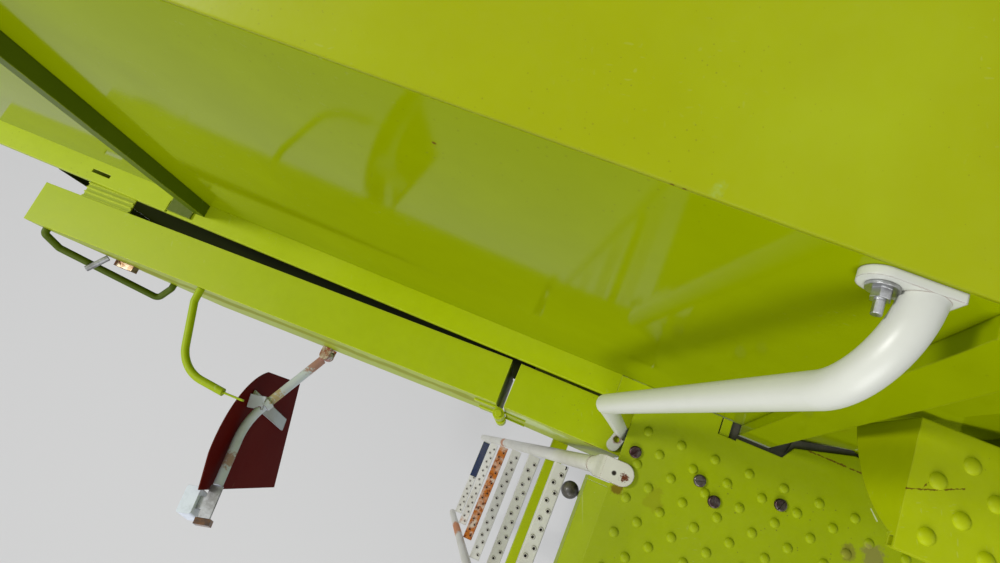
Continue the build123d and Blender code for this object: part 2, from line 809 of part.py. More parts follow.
with BuildPart() as hinge_barrels:
    for drop, length in barrel_spans:
        with BuildSketch(Plane.XY.offset(short_top_z - long_top_z - drop - length)):
            with Locations(hinge_local):
                Circle(hinge_barrel_r)
            with Locations((hinge_local[0] - leaf_middle, -leaf / 2 - seat)):
                Rectangle(leaf_length, leaf)
            with Locations(hinge_local):
                Circle(hinge_pin_r + hinge_clear, mode=Mode.SUBTRACT)
        extrude(amount=length)
keep(on_guard(hinge_barrels), "hinge_barrels")

# Latch, locking pin, loop handle and hooked rod on the long guard
with BuildPart() as guard_latch:
    with BuildSketch(Plane.XZ.offset(seat)):
        with Locations((-latch_at[0], -latch_at[1])):
            Rectangle(*latch_size)
    extrude(amount=latch_out)
keep(on_guard(guard_latch), "guard_latch")

pin_foot = (-lock_pin_at[0], -lock_pin_r * 0.6 - seat, -lock_pin_at[1])
pin_tip = tuple(a + b for a, b in zip(pin_foot, lock_pin_reach))
with BuildPart() as lock_pin:
    add(bent_tube((pin_foot, pin_tip), (), lock_pin_r, 0).part)
keep(on_guard(lock_pin), "lock_pin")

with BuildPart() as loop_handle:
    (x0, z0), (x1, z1) = handle_feet
    add(bent_tube(
        ((x0, -seat, z0), (x0, -handle_foot, z0), *handle_bar, (x1, -handle_foot, z1), (x1, -seat, z1)),
        handle_bends, handle_r, 0,
    ).part)
keep(on_guard(loop_handle), "loop_handle")

hook_end = hook_points[-1]
with BuildPart() as hook_rod:
    add(bent_tube(
        ((hook_points[0][0], -seat, hook_z), *[(x, y, hook_z) for x, y in hook_points]),
        hook_bends, hook_r, 0,
    ).part)
    with BuildSketch(Plane.XY.offset(hook_z - hook_r / 2)):
        with Locations((hook_end[0] + hook_tab[0] / 2 - hook_r, hook_end[1])):
            Rectangle(hook_tab[0] + 2 * hook_r, hook_tab[1])
    extrude(amount=hook_r)
keep(on_guard(hook_rod), "hook_rod")

# Ribbed tray on the guard's back, at its top
tray_y = long_depth + seat
tray_pitch = (tray_depth - tray_rib) / (tray_ribs - 1)
with BuildPart() as guard_tray:
    with BuildSketch(Plane(origin=(tray_x[0], 0, 0), x_dir=(0, 1, 0), z_dir=(1, 0, 0))):
        with Locations((tray_y + tray_depth / 2, tray_top - 1.5 * tray_rib)):
            Rectangle(tray_depth, tray_rib)
        for k in range(tray_ribs):
            with Locations((tray_y + tray_rib / 2 + k * tray_pitch, tray_top - tray_rib)):
                Rectangle(tray_rib, 2 * tray_rib)
    extrude(amount=tray_x[1] - tray_x[0])
keep(on_guard(guard_tray), "guard_tray")

# Marker arm on its pivot, with the board, its clamp and the lamp
root_x, root_y, root_z = marker_root
face_y = from_guard(root_x - long_rear[0], 0, 0)[1]
boss_half = 11.0
boss_r = 9.5
lug = 5.0
lug_r = 9.0
bracket_gap = 2 * seat
with BuildPart() as marker_bracket:
    for z in (root_z - boss_half - seat - lug, root_z + boss_half + seat):
        with BuildSketch(Plane.XY.offset(z)):
            with Locations((root_x, root_y)):
                Circle(lug_r)
            with Locations((root_x, (root_y + face_y - bracket_gap) / 2)):
                Rectangle(2 * lug_r, face_y - bracket_gap - root_y)
        extrude(amount=lug)
    with BuildSketch(Plane.XY.offset(root_z - boss_half - seat - lug)):
        with Locations((root_x, root_y)):
            Circle(hinge_pin_r)
    extrude(amount=2 * (boss_half + seat + lug))
keep(marker_bracket, "marker_bracket")

with BuildPart() as marker_arm:
    with BuildSketch(Plane.XY.offset(root_z - boss_half)):
        with Locations((root_x, root_y)):
            Circle(boss_r)
    extrude(amount=2 * boss_half)
    add(bent_tube(arm_points, (arm_bend,), arm_r, 0).part)
    with BuildSketch(Plane.XY.offset(root_z - boss_half - cutter_past)):
        with Locations((root_x, root_y)):
            Circle(hinge_pin_r + hinge_clear)
    extrude(amount=2 * (boss_half + cutter_past), mode=Mode.SUBTRACT)
keep(marker_arm, "marker_arm")

board_run = Vector(board_outer[0] - board_inner[0], board_outer[1] - board_inner[1], 0)
board_plane = Plane(
    origin=(board_inner[0], board_inner[1], 0),
    x_dir=board_run,
    z_dir=board_run.cross(Vector(0, 0, 1)),
)
with BuildPart() as marker_board:
    with BuildSketch(board_plane):
        with BuildLine():
            Line((0, board_low_z[0]), (0, board_inner_z))
            ThreePointArc((0, board_inner_z), board_arc_middle, board_arc_end)
            Line(board_arc_end, (board_run.length, board_outer_z))
            Line((board_run.length, board_outer_z), (board_low_run, board_low_z[1]))
            Line((board_low_run, board_low_z[1]), (0, board_low_z[0]))
        make_face()
    extrude(amount=board_sheet)
keep(marker_board, "marker_board")

# Clamp: a band round the arm on a block that stands on a strap screwed to the board
arm_root = Vector(*arm_points[0])
arm_run = Vector(*arm_points[1]) - arm_root
clamp_at = arm_root + arm_run * clamp_share
clamp_out = -(clamp_at - board_plane.origin).dot(board_plane.z_dir)
clamp_along = (clamp_at - board_plane.origin).dot(board_plane.x_dir)
strap_side = strap_size[0]
band_r = arm_r + seat + clamp_band
with BuildPart() as board_clamp:
    with BuildSketch(board_plane.offset(-seat)):
        with Locations((clamp_along, clamp_at.Z)):
            Rectangle(strap_side, strap_side)
    extrude(amount=seat - clamp_out)
    with BuildSketch(board_plane.offset(-seat)):
        with Locations(Location((clamp_along + strap_side / 2, strap_low_z + strap_size[1] / 2, 0), (0, 0, strap_turn))):
            Rectangle(*strap_size)
    extrude(amount=-clamp_band)
    with BuildSketch(Plane(origin=clamp_at, z_dir=arm_run)):
        Circle(band_r)
    extrude(amount=clamp_length / 2, both=True)
    with BuildSketch(Plane(origin=clamp_at, z_dir=arm_run)):
        Circle(arm_r + seat)
    extrude(amount=2 * strap_side, both=True, mode=Mode.SUBTRACT)
keep(board_clamp, "board_clamp")

# Lamp beside the arm's flat end, drawn along the arm: x outwards, y to the right, z up
arm_end = Vector(*arm_points[2])
end_dir = (arm_end - Vector(*arm_points[1])).normalized()
right_dir = Vector(0, 0, 1).cross(end_dir)
end_plane = Plane(origin=arm_end, x_dir=end_dir, z_dir=end_dir.cross(right_dir))
plate_long, plate_wide, plate_thick = lamp_plate
lamp_y = -plate_wide / 2 - lamp_reach - seat - lamp_size[1] / 2
lamp_x = seat + plate_long - lamp_size[0] / 2
with BuildPart() as lamp_bracket:
    with BuildSketch(end_plane.offset(-plate_thick / 2)):
        with Locations((seat + plate_long / 2, 0)):
            Rectangle(plate_long, plate_wide)
        with Locations((lamp_x, -(plate_wide + lamp_reach) / 2)):
            Rectangle(plate_wide, lamp_reach)
    extrude(amount=plate_thick)
keep(lamp_bracket, "lamp_bracket")

with BuildPart() as lamp_body:
    with BuildSketch(end_plane.offset(lamp_rise - lamp_size[2])):
        with Locations((lamp_x, lamp_y)):
            RectangleRounded(lamp_size[0], lamp_size[1], lamp_corner)
    extrude(amount=lamp_size[2])
keep(lamp_body, "lamp_body")

with BuildPart() as lamp_lens:
    with BuildSketch(end_plane.offset(plate_thick / 2 - lens_size[2])):
        with Locations((plate_long + 2 * seat + lens_size[0] / 2, 0)):
            Rectangle(lens_size[0], lens_size[1])
    extrude(amount=lens_size[2])
keep(lamp_lens, "lamp_lens")


def stringer_x(z):
    """Centre line of a stringer at a height."""
    return tread_first_x - stringer_lead + (z - tread_first_z) * tread_slope


# Ladder: two stringers with flattened tongues on the deck, and six channel treads
foot_z = tread_first_z - (tread_count - 1) * tread_pitch - stringer_below
tongue_z = deck_z + seat
tongue_round = tongue_width / 2
for name, y in (("inner_stringer", stringer_inner_y), ("outer_stringer", stringer_outer_y)):
    with BuildPart() as stringer:
        add(bent_tube(
            ((stringer_x(stringer_round_z), y, stringer_round_z), (stringer_x(foot_z), y, foot_z)), (), stringer_r, 0
        ).part)
        with BuildSketch(Plane.XY.offset(stringer_round_z - stringer_r / 4)):
            with Locations((stringer_x(stringer_round_z - stringer_r / 4), y)):
                Circle(stringer_r - seat)
        with BuildSketch(Plane.XY.offset(tongue_foot_z)):
            with Locations((stringer_x(tongue_foot_z), y)):
                Rectangle(tongue, tongue_width)
        loft()
        with BuildSketch(Plane.XZ.offset(tongue_round - y)):
            with BuildLine():
                Polyline(
                    (stringer_x(tongue_foot_z) - tongue / 2, tongue_foot_z),
                    (stringer_x(tongue_z) - tongue / 2, tongue_z),
                    (stringer_x(tongue_z), tongue_z + tongue),
                    (tongue_end_x - tongue_round, tongue_z + tongue),
                    (tongue_end_x - tongue_round, tongue_z),
                    (stringer_x(tongue_z) + tongue, tongue_z),
                    (stringer_x(tongue_foot_z) + tongue / 2, tongue_foot_z),
                    close=True,
                )
            make_face()
        extrude(amount=-tongue_width)
        with BuildSketch(Plane.XY.offset(tongue_z)):
            with Locations((tongue_end_x - tongue_round, y)):
                Circle(tongue_round)
        extrude(amount=tongue)
    keep(stringer, name)

tread_reach = (stringer_r**2 - (stringer_lead - tread_width / 2) ** 2) ** 0.5 + seat
tread_length = stringer_inner_y - stringer_outer_y - 2 * tread_reach
for k in range(tread_count):
    z = tread_first_z - k * tread_pitch
    x = tread_first_x - k * tread_pitch * tread_slope
    tread_plane = Plane(origin=(x, stringer_inner_y - tread_reach, z), x_dir=(1, 0, 0), z_dir=(0, -1, 0))
    with BuildPart() as tread:
        with BuildSketch(tread_plane):
            with Locations((0, -tread_depth / 2)):
                Rectangle(tread_width, tread_depth)
            with Locations((0, -tread_depth / 2 - tread_sheet)):
                Rectangle(tread_width - 2 * tread_sheet, tread_depth, mode=Mode.SUBTRACT)
        extrude(amount=tread_length)
    keep(tread, f"tread_{k + 1}")

# Plate on the lowest tread
with BuildPart() as ladder_foot_plate:
    with BuildSketch(Plane.XY.offset(tread_first_z - (tread_count - 1) * tread_pitch + seat)):
        with Locations((
            tread_first_x - (tread_count - 1) * tread_pitch * tread_slope,
            (foot_plate_y[0] + foot_plate_y[1]) / 2,
        )):
            Rectangle(tread_width, foot_plate_y[0] - foot_plate_y[1])
    extrude(amount=foot_plate_sheet)
keep(ladder_foot_plate, "ladder_foot_plate")

# Green carrier behind the stringers, from the lower side
carrier_z = tread_first_z - tread_pitch / 2
carrier_x = stringer_x(carrier_z + carrier_size / 2) + stringer_r * 1.02 + seat + carrier_size / 2
ladder_carrier = bar_y(carrier_x, stringer_outer_y - carrier_past, wall_y - seat, carrier_z, carrier_size, sheet)
keep(ladder_carrier, "ladder_carrier")

# Release lever with its ball knob under the deck
lever_foot = (lever_x + knob_r + seat, lever_y, lever_z)
lever_turn = (lever_x + lever_reach, lever_y, lever_z)
lever_head = (lever_x + lever_reach, lever_y, deck_z - sheet)
with BuildPart() as lever:
    add(bent_tube((lever_foot, lever_turn, lever_head), (lever_bend,), lever_r, 0).part)
keep(lever, "lever")

with BuildPart() as lever_knob:
    with Locations((lever_x, lever_y, lever_z)):
        Sphere(knob_r)
keep(lever_knob, "lever_knob")
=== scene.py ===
import math

import bpy
import bmesh
from mathutils import Matrix, Vector


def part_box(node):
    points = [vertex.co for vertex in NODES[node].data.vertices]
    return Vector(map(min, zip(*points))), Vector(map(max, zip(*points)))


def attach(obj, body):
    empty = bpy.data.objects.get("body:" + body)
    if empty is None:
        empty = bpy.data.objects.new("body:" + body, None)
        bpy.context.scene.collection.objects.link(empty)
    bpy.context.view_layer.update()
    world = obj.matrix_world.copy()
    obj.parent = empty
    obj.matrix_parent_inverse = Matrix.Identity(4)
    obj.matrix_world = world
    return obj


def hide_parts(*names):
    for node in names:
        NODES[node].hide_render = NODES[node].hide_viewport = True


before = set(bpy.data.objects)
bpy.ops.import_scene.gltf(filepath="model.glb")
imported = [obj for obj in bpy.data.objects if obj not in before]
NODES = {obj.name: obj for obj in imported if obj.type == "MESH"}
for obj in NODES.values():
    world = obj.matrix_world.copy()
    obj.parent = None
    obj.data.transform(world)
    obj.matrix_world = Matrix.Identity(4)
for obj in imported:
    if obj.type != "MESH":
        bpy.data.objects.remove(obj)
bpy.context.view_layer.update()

# Boarding platform of a combine harvester: looks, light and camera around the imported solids.
# Metres, +X towards the machine's rear, +Y into the machine, +Z up.

WALL_Y = -0.075       # outer face of the body's side wall
DECK_TOP = 0.250
STEP_TOP = 0.578      # upper step
LADDER_TOP = 0.2563   # flattened tongues of the ladder's stringers


def paint(red, green, blue):
    """A paint colour given in 0 to 255, in the linear light that a shader takes."""
    def straight(value):
        value /= 255.0
        return value / 12.92 if value <= 0.04045 else ((value + 0.055) / 1.055) ** 2.4

    return (straight(red), straight(green), straight(blue), 1.0)


# Shared effects, each a node group that gives masks, colours or heights

class Wiring:
    """Adds nodes to one tree and links them; called w wherever it is used."""

    def __init__(self, tree):
        self.tree = tree
        self.column = 0

    def node(self, kind, settings=None, **plugs):
        """New node; a plug named i0, i1 and so on goes to the socket of that number."""
        made = self.tree.nodes.new(kind)
        self.column += 1
        made.location = (180 * (self.column % 14), -220 * (self.column // 14))
        for key, value in (settings or {}).items():
            setattr(made, key, value)
        for key, value in plugs.items():
            numbered = key[0] == "i" and key[1:].isdigit()
            self.plug(made.inputs[int(key[1:]) if numbered else key], value)
        return made

    def plug(self, socket, value):
        """Links an output to a socket, or sets the socket to a plain value."""
        if isinstance(value, bpy.types.NodeSocket):
            self.tree.links.new(value, socket)
        elif value is not None:
            socket.default_value = value

    def maths(self, operation, a, b=None, clamp=False, c=None):
        """One maths node, on up to three values."""
        made = self.node("ShaderNodeMath", {"operation": operation, "use_clamp": clamp}, i0=a)
        self.plug(made.inputs[1], b)
        self.plug(made.inputs[2], c)
        return made.outputs[0]

    def vector(self, operation, a, b=None, out=0):
        """One vector node; output 1 is the single number that a length or a dot product gives."""
        made = self.node("ShaderNodeVectorMath", {"operation": operation}, i0=a)
        self.plug(made.inputs[1], b)
        return made.outputs[out]

    def scaled(self, a, factor):
        """A vector or a colour times one factor."""
        made = self.node("ShaderNodeVectorMath", {"operation": "SCALE"}, i0=a)
        self.plug(made.inputs["Scale"], factor)
        return made.outputs[0]

    def noise(self, vector, scale, detail=4.0, rough=0.55, twist=0.0):
        """Soft random value around 0.5 that changes from place to place."""
        made = self.node("ShaderNodeTexNoise", {"noise_dimensions": "3D"})
        for key, value in (("Vector", vector), ("Scale", scale), ("Detail", detail),
                           ("Roughness", rough), ("Distortion", twist)):
            self.plug(made.inputs[key], value)
        return made.outputs["Fac"]

    def step(self, value, low, high):
        """Smooth rise from 0 to 1 while a value goes from low to high."""
        made = self.node("ShaderNodeMapRange", {"interpolation_type": "SMOOTHSTEP", "clamp": True})
        for key, plug in (("Value", value), ("From Min", low), ("From Max", high)):
            self.plug(made.inputs[key], plug)
        return made.outputs["Result"]

    def spread(self, value, low, high, to_low, to_high):
        """Straight change from one range to another."""
        made = self.node("ShaderNodeMapRange", {"clamp": True})
        for key, plug in (("Value", value), ("From Min", low), ("From Max", high),
                          ("To Min", to_low), ("To Max", to_high)):
            self.plug(made.inputs[key], plug)
        return made.outputs["Result"]

    def blend(self, share, a, b):
        """Colour between a and b."""
        made = self.node("ShaderNodeMix", {"data_type": "RGBA", "clamp_factor": True})
        self.plug(made.inputs[0], share)
        self.plug(made.inputs[6], a)
        self.plug(made.inputs[7], b)
        return made.outputs[2]

    def between(self, share, a, b):
        """Number between a and b."""
        made = self.node("ShaderNodeMix", {"data_type": "FLOAT", "clamp_factor": True})
        self.plug(made.inputs[0], share)
        self.plug(made.inputs[2], a)
        self.plug(made.inputs[3], b)
        return made.outputs[0]


KINDS = {"v": "NodeSocketVector", "f": "NodeSocketFloat", "c": "NodeSocketColor"}


def effect(build, inputs, outputs):
    """Node group named after build, which wires its given inputs and lists its outputs in order."""
    group = bpy.data.node_groups.new(build.__name__, "ShaderNodeTree")
    for label, kind, value in inputs:
        socket = group.interface.new_socket(label, in_out="INPUT", socket_type=KINDS[kind])
        socket.default_value = value
    for label, kind in outputs:
        group.interface.new_socket(label, in_out="OUTPUT", socket_type=KINDS[kind])
    entry = group.nodes.new("NodeGroupInput")
    leave = group.nodes.new("NodeGroupOutput")
    for socket, result in zip(leave.inputs, build(Wiring(group), entry.outputs)):
        group.links.new(result, socket)
    return group


def cloudy_tone(w, given):
    """Colour that drifts lighter and darker in broad and fine clouds."""
    broad = w.noise(given["Vector"], given["Scale"], 5.0, 0.6, 0.3)
    fine = w.noise(given["Vector"], w.maths("MULTIPLY", given["Scale"], 23.0), 3.0, 0.6)
    mixed = w.maths("MULTIPLY_ADD", fine, 0.3, c=w.maths("MULTIPLY", broad, 0.7))
    gain = w.spread(mixed, 0.3, 0.7, w.maths("SUBTRACT", 1.0, given["Spread"]),
                    w.maths("ADD", 1.0, given["Spread"]))
    return [w.scaled(given["Colour"], gain), mixed]


def orange_peel(w, given):
    """Soft waves of a sprayed coat."""
    coarse = w.noise(given["Vector"], given["Scale"], 2.0, 0.5)
    fine = w.noise(given["Vector"], w.maths("MULTIPLY", given["Scale"], 7.0), 3.0, 0.6)
    return [w.maths("MULTIPLY_ADD", fine, 0.35, c=coarse)]


def worn_and_highlit_edges(w, given):
    """Edges where the rounded normal leaves the flat one, broken up by noise; a high amount makes it a
    painted highlight along the edges.
    """
    face = w.node("ShaderNodeNewGeometry").outputs["Normal"]
    turn = w.maths("SUBTRACT", 1.0, w.vector("DOT_PRODUCT", given["Rounded"], face, out=1))
    ragged = w.noise(given["Vector"], given["Scale"], 4.0, 0.7)
    value = w.maths("MULTIPLY_ADD", turn, 3.2, c=w.maths("MULTIPLY_ADD", ragged, 1.6, c=-1.35))
    value = w.maths("ADD", value, given["Amount"])
    close = w.step(turn, 0.004, 0.03)
    return [w.maths("MULTIPLY", w.step(value, 0.0, 0.12), close)]


def settled_dust(w, given):
    """Dust that lies on faces turned upwards."""
    facing = w.node("ShaderNodeNewGeometry").outputs["Normal"]
    level = w.step(w.node("ShaderNodeSeparateXYZ", i0=facing).outputs["Z"], 0.1, 0.95)
    broad = w.noise(given["Vector"], given["Scale"], 4.0, 0.65, 0.6)
    grit = w.noise(given["Vector"], w.maths("MULTIPLY", given["Scale"], 40.0), 2.0, 0.6)
    cover = w.step(w.maths("MULTIPLY_ADD", grit, 0.45, c=broad), 0.5, 1.05)
    return [w.maths("MULTIPLY", w.maths("MULTIPLY", cover, level), given["Amount"], clamp=True)]


def rust_bloom(w, given):
    """Patches of rust with their colour and grain."""
    broad = w.noise(given["Vector"], given["Scale"], 5.0, 0.7, 0.8)
    low = w.maths("SUBTRACT", 0.86, w.maths("MULTIPLY", given["Amount"], 0.6))
    mask = w.step(broad, low, w.maths("ADD", low, 0.07))
    grain = w.noise(given["Vector"], w.maths("MULTIPLY", given["Scale"], 14.0), 4.0, 0.75)
    tone = w.blend(w.step(grain, 0.35, 0.65), paint(58, 30, 18), paint(168, 84, 30))
    tone = w.blend(w.step(broad, 0.5, 0.8), tone, paint(96, 44, 22))
    return [mask, tone, w.maths("MULTIPLY", grain, mask)]


def fine_scratches(w, given):
    """Thin scratches in two directions, in patches."""
    total = None
    for turn, stretch in ((0.35, 60.0), (1.9, 47.0)):
        at = w.node("ShaderNodeMapping", {"vector_type": "TEXTURE"}, Vector=given["Vector"],
                    Rotation=(0.2, 0.3, turn), Scale=(0.16, 0.16 / stretch, 0.16 / stretch)).outputs[0]
        line = w.noise(at, 1.0, 1.0, 0.4)
        one = w.step(line, 0.71, 0.76)
        total = one if total is None else w.maths("MAXIMUM", total, one)
    patch = w.step(w.noise(given["Vector"], given["Scale"], 3.0), 0.5, 0.68)
    return [w.maths("MULTIPLY", w.maths("MULTIPLY", total, patch), given["Amount"], clamp=True)]


def dirt_specks(w, given):
    """Small round specks of dirt of mixed size."""
    cells = w.node("ShaderNodeTexVoronoi", {"feature": "F1"}, Vector=given["Vector"], Scale=given["Scale"])
    keep = w.step(w.noise(cells.outputs["Position"], 3.1, 1.0), 0.5, 0.52)
    size = w.spread(w.noise(cells.outputs["Position"], 7.3, 0.0), 0.35, 0.7, 0.02, 0.13)
    dot = w.maths("SUBTRACT", 1.0, w.step(cells.outputs["Distance"], w.maths("MULTIPLY", size, 0.6), size))
    return [w.maths("MULTIPLY", w.maths("MULTIPLY", dot, keep), given["Amount"], clamp=True)]


def drawn_line(w, given):
    """Ragged line between two places."""
    wobble = w.noise(given["Vector"], given["Scale"], 3.0, 0.6)
    run = w.vector("SUBTRACT", given["End"], given["Start"])
    off = w.vector("SUBTRACT", given["Vector"], given["Start"])
    along = w.maths("DIVIDE", w.vector("DOT_PRODUCT", off, run, out=1),
                  w.vector("DOT_PRODUCT", run, run, out=1), clamp=True)
    gap = w.vector("LENGTH", w.vector("SUBTRACT", off, w.scaled(run, along)), out=1)
    gap = w.maths("MULTIPLY_ADD", w.maths("SUBTRACT", wobble, 0.5), given["Ragged"], c=gap)
    return [w.maths("SUBTRACT", 1.0, w.step(gap, w.maths("MULTIPLY", given["Width"], 0.4), given["Width"]))]


def ragged_stain(w, given):
    """Round stain with a ragged edge."""
    wobble = w.noise(given["Vector"], given["Scale"], 6.0, 0.7)
    gap = w.vector("DISTANCE", given["Vector"], given["Centre"], out=1)
    gap = w.maths("DIVIDE", gap, given["Radius"])
    gap = w.maths("MULTIPLY_ADD", w.maths("SUBTRACT", wobble, 0.5), given["Ragged"], c=gap)
    return [w.maths("SUBTRACT", 1.0, w.step(gap, 0.55, 1.0))]


AT = ("Vector", "v", (0, 0, 0))
MASK = ("Mask", "f")
TONE = effect(cloudy_tone, [AT, ("Colour", "c", (1, 1, 1, 1)), ("Scale", "f", 4.0), ("Spread", "f", 0.1)],
              [("Colour", "c"), ("Cloud", "f")])
PEEL = effect(orange_peel, [AT, ("Scale", "f", 180.0)], [("Height", "f")])
EDGES = effect(worn_and_highlit_edges, [AT, ("Rounded", "v", (0, 0, 1)), ("Scale", "f", 60.0), ("Amount", "f", 0.0)],
               [MASK])
DUST = effect(settled_dust, [AT, ("Scale", "f", 5.0), ("Amount", "f", 0.5)], [MASK])
RUST = effect(rust_bloom, [AT, ("Scale", "f", 14.0), ("Amount", "f", 0.2)],
              [MASK, ("Colour", "c"), ("Height", "f")])
SCRATCH = effect(fine_scratches, [AT, ("Scale", "f", 6.0), ("Amount", "f", 0.4)], [MASK])
SPECKS = effect(dirt_specks, [AT, ("Scale", "f", 60.0), ("Amount", "f", 0.6)], [MASK])
LINE = effect(drawn_line, [AT, ("Start", "v", (0, 0, 0)), ("End", "v", (1, 0, 0)), ("Width", "f", 0.002),
                           ("Scale", "f", 60.0), ("Ragged", "f", 0.002)], [MASK])
STAIN = effect(ragged_stain, [AT, ("Centre", "v", (0, 0, 0)), ("Radius", "f", 0.02), ("Scale", "f", 60.0),
                              ("Ragged", "f", 0.9)], [MASK])


def place(w, group, at, **values):
    """Puts an effect into a material, with its own values."""
    made = w.node("ShaderNodeGroup", {"node_tree": group})
    w.plug(made.inputs["Vector"], at)
    for key, value in values.items():
        w.plug(made.inputs[key], value)
    return made.outputs


# Drawn marks, each where the photograph shows it: cracks, rust, worn and chalky places

RUST_BROWN = paint(92, 44, 14)
RUST_ORANGE = paint(166, 104, 26)
NEAR_BLACK = paint(26, 18, 10)


def line(start, end, width, colour, strength=0.8, ragged=None, grain=60.0):
    """A drawn line; its wobble is as wide as the line unless ragged says otherwise."""
    shape = dict(Start=start, End=end, Width=width, Scale=grain, Ragged=width if ragged is None else ragged)
    return LINE, shape, colour, strength


def spot(centre, radius, colour, strength=0.8, ragged=0.9, grain=60.0):
    """A round stain; ragged is its wobble as a share of the radius."""
    return STAIN, dict(Centre=centre, Radius=radius, Scale=grain, Ragged=ragged), colour, strength


WALL_MARKS = (
    spot((0.0700, WALL_Y, 0.7593), 0.0022, RUST_BROWN),
)
SHOULDER_MARKS = (
    spot((0.2484, WALL_Y, 0.8285), 0.011, paint(152, 190, 120), strength=0.35, ragged=1.6),
    spot((0.2235, WALL_Y, 0.8165), 0.0018, RUST_BROWN),
    spot((0.2306, WALL_Y, 0.8165), 0.0015, RUST_BROWN),
    line((0.4245, -0.0726, 0.817), (0.4245, 0.02, 0.856), 0.0018, RUST_BROWN, strength=0.75, ragged=0.008,
         grain=200.0),
)
GUARD_MARKS = (
    line((-0.640, -0.2045, 0.112), (-0.560, -0.2020, 0.100), 0.009, RUST_ORANGE, strength=0.85,
         ragged=0.012),
    spot((-0.560, -0.202, 0.110), 0.016, paint(120, 92, 26), strength=0.6),
    line((-0.640, -0.2045, 0.130), (0.120, -0.1810, 0.130), 0.045, paint(124, 120, 44), strength=0.55,
         ragged=0.11, grain=16.0),
)
SHORT_GUARD_MARKS = (
    spot((0.200, -0.180, 0.140), 0.070, paint(190, 202, 150), strength=0.8, ragged=2.0, grain=45.0),
    spot((0.290, -0.180, 0.214), 0.010, RUST_BROWN, ragged=1.6),
    line((0.240, -0.180, 0.200), (0.325, -0.180, 0.212), 0.0015, RUST_BROWN, strength=0.6, ragged=0.003),
)
DECK_MARKS = (
    line((0.5540, -0.0745, DECK_TOP), (0.6000, -0.0748, DECK_TOP), 0.0011, RUST_BROWN, ragged=0.006,
         grain=260.0),
    line((0.6000, -0.0748, DECK_TOP), (0.6393, -0.0755, DECK_TOP), 0.0011, RUST_BROWN, ragged=0.007,
         grain=260.0),
    spot((0.6750, -0.1720, DECK_TOP), 0.019, paint(122, 110, 72), strength=0.65, ragged=2.6),
    spot((0.6470, -0.1790, DECK_TOP), 0.012, paint(112, 96, 50), strength=0.55, ragged=3.0),
    spot((0.3410, -0.2235, DECK_TOP), 0.009, RUST_BROWN, strength=0.7, ragged=2.4),
    spot((0.3900, -0.2150, DECK_TOP), 0.016, paint(110, 84, 10), strength=0.22, ragged=3.0),
    line((0.6595, -0.1153, DECK_TOP), (0.6702, -0.1270, DECK_TOP), 0.0012, paint(214, 220, 180),
         strength=0.7),
)
STEP_MARKS = (
    line((0.5107, -0.1360, STEP_TOP), (0.5332, -0.1282, STEP_TOP), 0.0008, RUST_BROWN, ragged=0.004,
         grain=320.0),
    line((0.5332, -0.1282, STEP_TOP), (0.5558, -0.1177, STEP_TOP), 0.0006, RUST_BROWN, ragged=0.004,
         grain=320.0),
    line((0.5230, -0.1315, STEP_TOP), (0.5270, -0.1240, STEP_TOP), 0.0005, RUST_BROWN, ragged=0.004,
         grain=320.0),
)
RAIL_MARKS = (
    spot((0.3525, -0.1475, 0.770), 0.0016, NEAR_BLACK),
    spot((0.3545, -0.1475, 0.790), 0.0014, NEAR_BLACK),
    line((0.330, -0.1475, 0.672), (0.334, -0.1475, 0.678), 0.0007, NEAR_BLACK),
    spot((0.321, -0.160, 0.2293), 0.0075, paint(120, 56, 22), ragged=1.2),
)
LADDER_MARKS = (
    spot((0.3289, -0.2056, LADDER_TOP), 0.0042, NEAR_BLACK, ragged=0.2, strength=1.0),
    spot((0.3440, -0.2060, LADDER_TOP), 0.0068, RUST_BROWN, ragged=3.4, grain=420.0, strength=1.0),
    spot((0.1500, -0.2030, -0.830), 0.040, paint(168, 96, 40), strength=0.8, ragged=1.5),
    spot((0.1018, -0.5320, -1.150), 0.13, paint(184, 104, 28), strength=0.85, ragged=1.4),
)
ARM_MARKS = (
    spot((-0.2722, -0.3378, -0.116), 0.006, NEAR_BLACK, ragged=0.3),
    spot((-0.207, -0.224, -0.003), 0.034, paint(150, 78, 36), strength=0.75, ragged=2.6, grain=150.0),
    spot((-0.238, -0.310, 0.028), 0.018, paint(160, 130, 30), strength=0.7, ragged=3.0, grain=150.0),
    spot((-0.245, -0.430, 0.072), 0.020, paint(140, 84, 30), strength=0.7, ragged=3.0, grain=150.0),
)


# Finishes

STRAW_DUST = paint(172, 160, 120)
BARE_PRIMER = paint(176, 188, 40)
# Pale yellow-green of a painted highlight along the sunlit folded edges of the ledge and guards.
PAINTED_EDGE_HIGHLIGHT = paint(204, 216, 70)
SCRATCH_PALE = paint(205, 210, 170)
DIRT_BROWN = paint(84, 66, 40)
DIRT_GREY = paint(70, 58, 44)


def open_material(name):
    """New material with an empty tree: gives it, its wiring and the place on the piece."""
    material = bpy.data.materials.new(name)
    material.use_nodes = True
    material.node_tree.nodes.clear()
    w = Wiring(material.node_tree)
    return material, w, w.node("ShaderNodeTexCoord").outputs["Object"]


def rounded_normal(w, radius):
    """Normal that runs round the edges as if they were rounded off by a small radius."""
    return w.node("ShaderNodeBevel", {"samples": 4}, Radius=radius).outputs[0]


def close_material(w, skin, rough, bump, **more):
    """Shader and output of a material; more sets further sockets of the shader."""
    shader = w.node("ShaderNodeBsdfPrincipled", None, Roughness=rough, Normal=bump.outputs[0])
    w.plug(shader.inputs["Base Color"], skin)
    for key, value in more.items():
        w.plug(shader.inputs[key.replace("_", " ")], value)
    w.tree.links.new(shader.outputs[0], w.node("ShaderNodeOutputMaterial").inputs[0])


